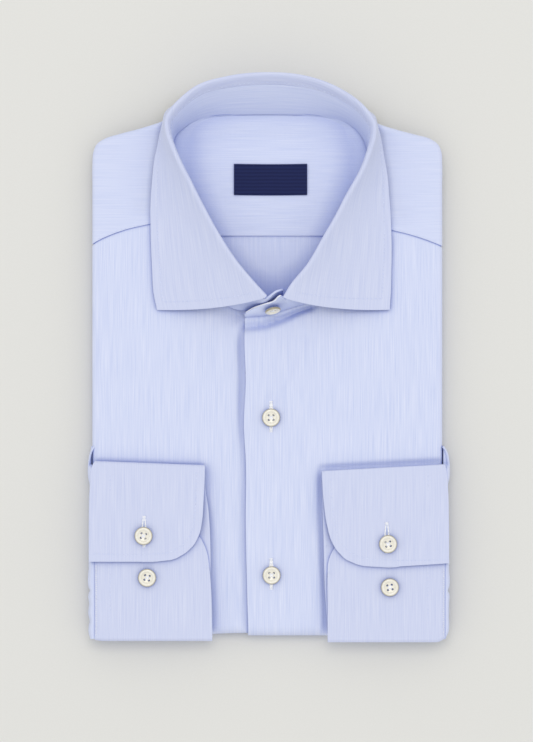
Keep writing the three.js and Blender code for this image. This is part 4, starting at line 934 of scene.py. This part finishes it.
def sleeve(side, seam, fold, ease_out, rounded, crumpled, seed):
    """The form of the strip of sleeve at one side, from the cuff's seam round into the groove. ease_out
    is how far it stands out, rounded draws in its lower end, and crumpled is how much it waves there."""
    def form(u, v):
        y = blend(SLEEVE_ROWS["y"][0], SLEEVE_ROWS["y"][-1], v)
        loose = curve(SLEEVE_ROWS["y"], SLEEVE_ROWS["loose"], y)
        into = curve(SLEEVE_ROWS["y"], SLEEVE_ROWS["into"], y, guarded=True)
        crumple = crumpled * unevenness(y, 3 * u, 8, seed) * np.exp(-((y + 160) / 12) ** 2)
        out = fold + ease_out + loose + crumple - rounded * np.exp(-((y + 178) / 3.5) ** 2)
        tucked = ease(into, 0, 1)
        above = ease(y, CUFF_TOP_Y - 1, CUFF_TOP_Y + 3)
        start = blend(seam + 0.12, fold + 0.6, above)
        start_z = blend(SLEEVE_SEAM_Z, SLEEVE_HIDDEN_Z, above)
        across = bow([start, blend(start, out, 0.6), out - 0.2, out, out - 0.5 * tucked,
                      blend(out, fold - 0.4, tucked), blend(out, fold - into, tucked)], u)
        z = bow([start_z, start_z - 0.1, 14.0 + 0 * y, 10.8 + 0 * y, 8.6 + 0 * y,
                 blend(7.8, 7.5, tucked), blend(7.0, 7.5, tucked)], u)
        return np.column_stack([side * across, y, z, SLEEVE_SHOWN * u, y])
    return form


right_strip = sleeve(
    -1, 109.6, HALF_WIDTH - STACK_CENTRE_X, ease_out=0, rounded=0, crumpled=1.3, seed=2.7)
sleeve_right = cloth("sleeve_right_cloth", right_strip, 26, 130, SLEEVE_WALL, offset=0)
dress(sleeve_right, "sleeve_right", rests_on=["front_right_cloth", "cuff_right_cloth"])
left_strip = sleeve(
    1, 110.6, HALF_WIDTH + STACK_CENTRE_X, ease_out=2, rounded=2.2, crumpled=0.15, seed=7.7)
sleeve_left = cloth("sleeve_left_cloth", left_strip, 26, 130, SLEEVE_WALL, offset=0, turned=True)
dress(sleeve_left, "sleeve_left", rests_on=["front_left_cloth", "cuff_left_cloth"])

# %% [markdown]
# Under the fronts lie the folded sleeves, the back and the tails. They show only as rounded edges in the
# groove at the sides and behind the shoulders. Each is a thick grid here, a folded layer with wavy edges.

# %% The hidden layers
LAYER_WALL, LAYER_CORNER = 1.7, 5
LAYER_END_WAVE, LAYER_SIDE_WAVE, LAYER_WAVE = 1.2, 0.8, 0.15


def layer(low_y, high_y, height, inset, seed):
    """The form of one folded layer: its ends along y, its height and how far its sides lie in."""
    def form(u, v):
        y = blend(low_y, high_y, v)
        to_end = 2 * abs(v - 0.5)
        y = y + LAYER_END_WAVE * unevenness(220 * u, 7 * seed, 90, seed) * to_end ** 4
        corner = LAYER_CORNER * (1 - np.sqrt(1 - to_end ** 24))
        half = HALF_WIDTH - inset - corner + LAYER_SIDE_WAVE * unevenness(y, 9 * seed, 70, seed)
        x = STACK_CENTRE_X + half * (2 * u - 1)
        z = height + LAYER_WAVE * unevenness(x, y, 60, seed)
        return np.column_stack([x, y, z, x, y])
    return form


folded_layers = cloth("folded_layers", [
    layer(-158, 103, 3.2, 6.5, 1), layer(-156, 109, 5.2, 5, 2), layer(-160, 131, 7.2, 6.2, 3),
    layer(-160, 130, 9.2, 7, 4),
], 44, 90, LAYER_WALL, rim=0.75, rounds=4)
dress(folded_layers, "folded_body")

# %% [markdown]
# A shirt's edges are stitched a few millimetres in. Each stitch is a stretched ball of twenty faces, which
# lies along its path and half in the cloth. The paths are either lines on a form, or marks in plan that
# are dropped on the finished cloth from above.

# %% Stitches along a path
def on_form(form, u, v, lift):
    """Points that stand off a form by lift, with the directions away from it."""
    u, v = (np.array(share, float) for share in np.broadcast_arrays(u, v))
    step = 0.001
    here = form(u, v)[:, :3]
    by_u = form(np.minimum(u + step, 1), v)[:, :3] - form(np.maximum(u - step, 0), v)[:, :3]
    by_v = form(u, np.minimum(v + step, 1))[:, :3] - form(u, np.maximum(v - step, 0))[:, :3]
    away = np.cross(by_u, by_v)
    away = away / np.linalg.norm(away, axis=1)[:, None]
    return here + away * lift, away


def dropped_on(piece, plan):
    """Points of a path in plan where they meet a piece from above, with its directions there."""
    tree = BVHTree.FromObject(piece, bpy.context.evaluated_depsgraph_get())
    hits = [tree.ray_cast(Vector((x * MM, y * MM, 0.1)), Vector((0, 0, -1)))[:2] for x, y in plan]
    found = [(np.array(place) / MM, np.array(away)) for place, away in hits if place]
    return np.array([place for place, _ in found]), np.array([away for _, away in found])


def smooth_path(*marks, step=1.0):
    """A flowing path in plan through its marks, with a point at every step."""
    marks = np.array(marks, float)
    knots = travelled(*marks.T)
    where = np.linspace(0, knots[-1], max(3, int(knots[-1] / step)))
    return np.column_stack([curve(knots, column, where) for column in marks.T])


def inset(path, distance):
    """A path beside another one in plan, to its left, or to its right for a negative distance."""
    dx, dy = np.gradient(path[:, 0]), np.gradient(path[:, 1])
    length = np.hypot(dx, dy)
    return path + distance * np.column_stack([-dy / length, dx / length])


def ball(bm, centre, along, up, length, width, height, rounds=1):
    """A stretched ball of thread that lies along a direction."""
    x = Vector(along).normalized()
    z = Vector(up)
    z = (z - x * x.dot(z)).normalized()
    turn = Matrix((x, z.cross(x), z)).transposed().to_4x4()
    size = Matrix.Diagonal((length * MM / 2, width * MM / 2, height * MM / 2, 1))
    place = Matrix.Translation(Vector(centre) * MM)
    bmesh.ops.create_icosphere(bm, subdivisions=rounds, radius=1, matrix=place @ turn @ size)


STITCH, STITCH_SPACE, STITCH_WIDTH, STITCH_HEIGHT = 2.1, 0.7, 0.34, 0.3


def row_at(rows, along, place):
    """The row of numbers at a place, between the rows that are reached at along."""
    return np.array([np.interp(place, along, column) for column in rows.T])


def stitch_along(bm, path, away, width, height, space):
    """A row of equal stitches along a path."""
    along = travelled(*path.T)
    count = int(along[-1] / (STITCH + space))
    for middle in (np.arange(count) + 0.5) * along[-1] / count:
        start, end = (row_at(path, along, middle + half) for half in (-STITCH / 2, STITCH / 2))
        centre, up = row_at(path, along, middle), row_at(away, along, middle)
        ball(bm, centre, end - start, up, STITCH, width, height)
    return count


def sewn(name, rows, thread="tonal thread", width=STITCH_WIDTH, height=STITCH_HEIGHT, space=STITCH_SPACE):
    """One piece with all the rows of stitches of a seam."""
    bm = bmesh.new()
    count = sum(stitch_along(bm, path, away, width, height, space) for path, away in rows)
    print(f"{name}: {count} stitches in {len(rows)} rows")
    return dress(finish_piece(name, bm, MATERIALS[thread]))

# %% [markdown]
# The leaf is stitched all round, 5.7 mm in, and along its seam with the band. The rim of the band's rounded
# end shows white. White stitch balls lap over each other there like one cord, a painted highlight where the
# turned edge catches the light. The shoulder seams have one row beside them, and the cuffs are stitched
# round their edges and beside the sleeve.

# %% Rows of stitches
LEAF_STITCH_IN, SHORTEST_FALL = 5.7, 20
places = np.linspace(LEAF_STITCH_IN, ROLL_ROWS[-1] - LEAF_STITCH_IN, 300)
at = {name: curve(ROLL_ROWS, COLLAR[name], places) for name in COLLAR}
reaches = abs(at["edge_x"] - at["roll_x"]) + abs(at["roll_z"] - at["edge_z"]) * 0.6
edge_v = FALL_START + (1 - FALL_START) * (1 - LEAF_STITCH_IN / np.maximum(reaches, SHORTEST_FALL))
ends_v = np.linspace(FALL_START + 0.04, edge_v[0], 60)
LEAF_LIFT = COLLAR_WALL / 2 + 0.02
sewn("stitches_of_the_leaf", [
    on_form(leaf, places / ROLL_ROWS[-1], edge_v, LEAF_LIFT),
    on_form(leaf, LEAF_STITCH_IN / ROLL_ROWS[-1], ends_v, LEAF_LIFT),
    on_form(leaf, 1 - LEAF_STITCH_IN / ROLL_ROWS[-1], ends_v, LEAF_LIFT),
    on_form(leaf, np.linspace(0.01, 0.99, 300), CREST_START / 2, LEAF_LIFT),
])

OVER_START = BAND_ROWS[-len(BAND_ENDS["over"]["x"])] / BAND_ROWS[-1]
# painted highlight: white thread on the band's rim stands for the light that its rounded top catches
rim_highlight_path = on_form(band, np.linspace(OVER_START, 0.996, 80), 1, 0)
sewn("painted_highlight_on_the_band_rim", [rim_highlight_path], "thread", width=0.6, height=1.1, space=-1.5)

SEAM_STITCH_UP = 0.7
seam_x = [np.linspace(-108, -70, 40), np.linspace(72, 106, 36)]
sewn("stitches_of_the_shoulder_seams", [
    dropped_on(yoke_outer, np.column_stack([x, seam_y(x) + SEAM_STITCH_UP])) for x in seam_x])
CUFF_STITCH_IN, UNDER_STITCH_IN, SLEEVE_STITCH_IN = 5, 5.2, 13.2


def cuff_rows(piece, rows, side):
    """The rows of stitches on a cuff: round its free end, down its wrist edge and beside the sleeve."""
    free_end = [(rows["wrist"][k], rows["y"][k]) for k in FREE_END_ROWS]
    free_end = smooth_path((rows["seam"][0] - side * 2, rows["y"][0]), *free_end)
    under_end = smooth_path(*[(rows["wrist"][k], rows["y"][k]) for k in UNDER_END_ROWS])
    beside = rows["seam"][0] - side * SLEEVE_STITCH_IN
    sleeve_rows = [smooth_path((beside, y0), (beside, y1)) for y0, y1 in ((-72.5, -84), (-134, -165))]
    paths = [inset(free_end, -side * CUFF_STITCH_IN), inset(under_end, side * UNDER_STITCH_IN)]
    return [dropped_on(piece, path) for path in paths + sleeve_rows]


sewn("stitches_of_the_cuffs", cuff_rows(cuff_right, RIGHT_CUFF, -1) + cuff_rows(cuff_left, LEFT_CUFF, 1))

# %% [markdown]
# The cuff's seam with the sleeve is bound by close white stitches, which show where the free end doesn't
# cover them. They are the same balls, shorter and nearer to each other.

# %% Seams of the sleeves
BOUND_SPACE, BOUND_LIFT = 1.3, 0.15


def bound_seam(bm, piece, x, low_y, high_y):
    """Close slanting stitches on a piece along a line at x."""
    path, _ = dropped_on(piece, np.column_stack([np.full(60, x), np.linspace(low_y, high_y, 60)]))
    along = travelled(*path.T)
    for place in np.arange(0, along[-1], BOUND_SPACE):
        centre = Vector(row_at(path, along, place)) + Vector((0, 0, BOUND_LIFT))
        ball(bm, centre, (1, 0.5, 0), (0, 0, 1), 1.5, 0.6, 0.4)


bm = bmesh.new()
bound_seam(bm, cuff_right, -108.7, -174, -130.5)
bound_seam(bm, cuff_left, 109.8, -174, -133)
dress(finish_piece("stitches_of_the_sleeve_seams", bm, MATERIALS["thread"]))

# %% [markdown]
# The buttons look like mother of pearl but are polyester resin, cast as a rod, sliced and turned, so each
# is a spun profile: a thick rim round a shallow dish, with four drilled holes. One is made and copied.
# Cream clouds go through the whole resin. Towards the edge the colour is painted brown by the distance from
# the middle, as painted shade where the rim turns down.

# %% Cast resin
CLOUD_SIZE = 2.4 * MM
EDGE_SHADE_START = 0.84
CREAM, EDGE_SHADE_BROWN = ("dcd5c0", "fbf9f2"), "9a9074"


def resin():
    """Cream polyester like mother of pearl, with painted shade in brown round its edge."""
    material, tree, shader = new_material("polyester_resin_cast_and_turned")
    turned = add_node(tree, "UVMap", uv_map="turned").outputs["UV"]
    place = add_node(tree, "TexCoord").outputs["Object"]
    cloud = add_node(tree, "TexNoise", {
        "Vector": place, "Scale": 1 / CLOUD_SIZE, "Detail": 3.0, "Distortion": 1.2})
    cream = add_node(tree, "Mix", {
        "Factor": cloud.outputs["Fac"], "A": linear(CREAM[0]), "B": linear(CREAM[1])}, data_type="RGBA")
    # painted shade: the colour turns brown towards the edge by the distance from the middle, where the rim
    # turns down
    radius = add_node(tree, "SeparateXYZ", {"Vector": turned}).outputs["X"]
    line = add_node(tree, "MapRange", {"Value": radius, "From Min": EDGE_SHADE_START, "From Max": 1.0})
    line = line.outputs["Result"]
    skin = add_node(tree, "Mix", {
        "Factor": line, "A": cream.outputs["Result"], "B": linear(EDGE_SHADE_BROWN)}, data_type="RGBA")
    tree.links.new(skin.outputs["Result"], shader.inputs["Base Color"])
    set_sockets(shader, Roughness=0.28, IOR=1.55, Coat_Weight=0.3, Coat_Roughness=0.12)
    return material


MATERIALS["resin"] = resin()
print("resin: cream clouds of", CLOUD_SIZE / MM, "mm")

# %% One button, turned and drilled
BUTTON_RADIUS = 5.7
HOLE_OFFSET, HOLE_RADIUS = 1.4, 0.7
DISH_HEIGHT = 1.3
BUTTON_PROFILE = table(
    "r z", (0, 0), (4.2, 0), (5.1, 0.35), (5.6, 0.9), (BUTTON_RADIUS, 1.4), (5.5, 1.95), (5.0, 2.3),
    (4.4, 2.4), (3.9, 2.25), (3.5, 1.85), (3.2, 1.5), (2.8, 1.35), (0, DISH_HEIGHT),
)


def spun_profile(profile, sides):
    """A bmesh of a profile spun round the Z axis."""
    bm = bmesh.new()
    verts = [bm.verts.new((r * MM, 0, z * MM)) for r, z in zip(profile["r"], profile["z"])]
    edges = [bm.edges.new(pair) for pair in zip(verts, verts[1:])]
    bmesh.ops.spin(bm, geom=verts + edges, cent=(0, 0, 0), axis=(0, 0, 1), dvec=(0, 0, 0),
                   angle=2 * math.pi, steps=sides, use_merge=True)
    bmesh.ops.remove_doubles(bm, verts=bm.verts, dist=0.001 * MM)
    bmesh.ops.recalc_face_normals(bm, faces=bm.faces)
    return bm


def drills():
    """Four drills through a button."""
    bm = bmesh.new()
    for side_x in (-1, 1):
        for side_y in (-1, 1):
            place = Matrix.Translation((side_x * HOLE_OFFSET * MM, side_y * HOLE_OFFSET * MM, 0))
            bmesh.ops.create_cone(bm, cap_ends=True, segments=20, radius1=HOLE_RADIUS * MM,
                                  radius2=HOLE_RADIUS * MM, depth=10 * MM, matrix=place)
    return bm


def drilled_button():
    """The mesh of one button, centred in plan and with its underside at zero."""
    blank = finish_piece("button_blank", spun_profile(BUTTON_PROFILE, 64), MATERIALS["resin"])
    cutter = finish_piece("button_drills", drills())
    cut = blank.modifiers.new("holes", "BOOLEAN")
    cut.operation = "DIFFERENCE"
    cut.solver = "EXACT"
    cut.object = cutter
    mesh = bpy.data.meshes.new_from_object(blank.evaluated_get(bpy.context.evaluated_depsgraph_get()))
    for piece in (blank, cutter):
        bpy.data.objects.remove(piece)
    turned = mesh.uv_layers.new(name="turned")
    for loop in mesh.loops:
        x, y, z = mesh.vertices[loop.vertex_index].co
        turned.data[loop.index].uv = (math.hypot(x, y) / (BUTTON_RADIUS * MM), z / MM)
    return mesh


BUTTON_MESH = drilled_button()
print("one button:", len(BUTTON_MESH.polygons), "faces")

# %% [markdown]
# Every button lies flat on its cloth but the one on the band, which stands as steeply as the band does,
# so from above it shows almost edge on. It is also a size smaller. The thread crosses over each dish.

# %% The buttons and their thread
COLLAR_BUTTON_TILT, COLLAR_BUTTON_SCALE = math.radians(72), 0.88
COLLAR_BUTTON_TURN = math.radians(13)
TURN_PER_MM = math.radians(0.12)  # each button is turned a little, by its place across the shirt
HALF_BUTTON = 1.2
THREAD_SPAN, THREAD_WIDTH, THREAD_BESIDE = 3.9, 0.5, 0.24


def button_place(node):
    """The matrix that lays the button's mesh at its node, in metres."""
    x, y, z = BUTTON_SEATS[node]
    if node != "button_collar":
        return Matrix.Translation((x * MM, y * MM, z * MM)) @ Matrix.Rotation(TURN_PER_MM * x, 4, "Z")
    low, high = (np.array(corner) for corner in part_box(node))
    middle = Matrix.Translation((low + high) / 2)
    turn = Matrix.Rotation(COLLAR_BUTTON_TURN, 4, "Z") @ Matrix.Rotation(COLLAR_BUTTON_TILT, 4, "X")
    down = Matrix.Translation((0, 0, -HALF_BUTTON * MM))
    return middle @ turn @ Matrix.Scale(COLLAR_BUTTON_SCALE, 4) @ down


threads = bmesh.new()
for node in BUTTON_NODES:
    mesh = BUTTON_MESH.copy()
    place = button_place(node)
    mesh.transform(place)
    button = bpy.data.objects.new(node + "_resin", mesh)
    scene.collection.objects.link(button)
    dress(button, node, slot="button")
    start = len(threads.verts)
    for turn, height in ((45, DISH_HEIGHT + 0.12), (-45, DISH_HEIGHT + 0.3)):
        angle = math.radians(turn)
        along = (math.cos(angle), math.sin(angle), 0)
        for beside in (-THREAD_BESIDE, THREAD_BESIDE):
            centre = (-beside * math.sin(angle), beside * math.cos(angle), height)
            ball(threads, centre, along, (0, 0, 1), THREAD_SPAN, THREAD_WIDTH, THREAD_WIDTH, rounds=2)
    threads.verts.ensure_lookup_table()
    bmesh.ops.transform(threads, matrix=place, verts=threads.verts[start:])
dress(finish_piece("threads_of_the_buttons", threads, MATERIALS["thread"]))
print(len(BUTTON_NODES), "buttons sewn on")

# %% [markdown]
# A buttonhole is a slit edged with close bars of white thread. The button holds it open in the middle, so
# the two edges spread there and meet at the ends. On a cuff a darker blue ball lies between them as painted
# shade, standing for the cloth below in the shade of the slit. On the front only white thread shows between
# them, so the slit is filled with it.

# %% The buttonholes
BAR_PITCH, BAR_LENGTH, BAR_OVERLAP, SLIT_LENGTH = 0.45, 1.45, 0.35, 17.6
BUTTONHOLES = [
    (front_left, 1.3, -37.2, 0.8), (front_left, 1.4, -136.3, 0.8), (cuff_right, -78.6, -109.4, 0.7),
    (cuff_left, 74.1, -113.2, 0.8),
]


def bars(bm, piece, plan, length, width, height):
    """A bar of thread across the slit at every place of a plan."""
    for centre, away in zip(*dropped_on(piece, plan)):
        ball(bm, centre, (1, 0, 0), away, length, width, height)


def buttonhole(bm, piece, x, y, opened):
    """The two edges of a buttonhole and a bar across each end. opened is half the slit's width."""
    for side in (-1, 1):
        shares = np.arange(-1, 1.001, 2 * BAR_PITCH / SLIT_LENGTH)
        out = side * (opened * (1 - shares * shares) + BAR_LENGTH / 2 - BAR_OVERLAP)
        bars(bm, piece, zip(x + out, y + shares * SLIT_LENGTH / 2), BAR_LENGTH, 0.55, 0.7)
    for end in (-1, 1):
        plan = [(x, y + end * (SLIT_LENGTH / 2 + k * BAR_PITCH)) for k in range(3)]
        bars(bm, piece, plan, 2 * BAR_LENGTH + 0.4, 0.5, 0.6)


bm, slits = bmesh.new(), bmesh.new()
for piece, x, y, opened in BUTTONHOLES:
    buttonhole(bm, piece, x, y, opened)
    (centre,), (away,) = dropped_on(piece, [(x, y)])
    filling = bm if piece == front_left else slits
    # painted shade on the cuffs: a flat dark blue ball lies in the slit where the cloth below is in shade;
    # on the front the ball is white thread
    ball(filling, centre, (0, 1, 0), away, SLIT_LENGTH, 2 * opened, 0.16, rounds=3)
dress(finish_piece("threads_of_the_buttonholes", bm, MATERIALS["thread"]))
dress(finish_piece("painted_shade_in_the_buttonhole_slits", slits, MATERIALS["slit"]))
print(len(BUTTONHOLES), "buttonholes of", SLIT_LENGTH, "mm")

# %% [markdown]
# The background of the photograph is a plain pale sheet under soft light. The floor takes the colour of
# pale paper, and a large softbox hangs above, a little towards the collar. The room's pale walls and
# ceiling give most of the light, which is why the photograph has hardly any shadows.

# %% Floor, lights and camera
def paper():
    """Pale matt paper with a fine speckle of fibres."""
    material, tree, shader = new_material("pale_matt_paper")
    place = add_node(tree, "TexCoord").outputs["Object"]
    fibre = add_node(tree, "TexNoise", {"Vector": place, "Scale": 900.0, "Detail": 2.0})
    colour = add_node(tree, "Mix", {
        "Factor": fibre.outputs["Fac"], "A": linear("dcdbd7"), "B": linear("e0dfdb")}, data_type="RGBA")
    tree.links.new(colour.outputs["Result"], shader.inputs["Base Color"])
    set_sockets(shader, Roughness=0.95)
    return material


bm = bmesh.new()
bmesh.ops.create_grid(bm, x_segments=1, y_segments=1, size=3)
floor = finish_piece("floor", bm, paper())


def softbox(name, place, aim, size, power, colour):
    """A round area light at a place, turned to what it lights."""
    data = bpy.data.lights.new(name, "AREA")
    data.shape = "DISK"
    data.size = size
    data.energy = power
    data.color = linear(colour)[:3]
    light = bpy.data.objects.new(name, data)
    light.location = place
    light.rotation_euler = (Vector(aim) - Vector(place)).to_track_quat("-Z", "Y").to_euler()
    light.visible_camera = False
    scene.collection.objects.link(light)


softbox("softbox", (0, 0.6, 2.5), (0, 0, 0), 1.4, 15, "fffaf0")
world = bpy.data.worlds.new("pale_room")
scene.world = world
world.use_nodes = True
set_sockets(world.node_tree.nodes["Background"], Color=linear("fbfdff"), Strength=0.875)
scene.view_settings.view_transform = "Standard"

CAMERA_DISTANCE, CAMERA_X, CAMERA_Y = 2400, -1.6, -8.44
PHOTO_HEIGHT_MM, SENSOR = 467.5, 36
camera_data = bpy.data.cameras.new("camera")
camera_data.sensor_width = SENSOR
camera_data.lens = SENSOR * CAMERA_DISTANCE / PHOTO_HEIGHT_MM
camera_data.clip_end = 20
camera = bpy.data.objects.new("camera", camera_data)
camera.location = (CAMERA_X * MM, CAMERA_Y * MM, (CAMERA_DISTANCE + STACK_HEIGHT) * MM)
scene.collection.objects.link(camera)
scene.camera = camera
print("camera: lens", round(camera_data.lens, 1), "mm at", tuple(camera.location))
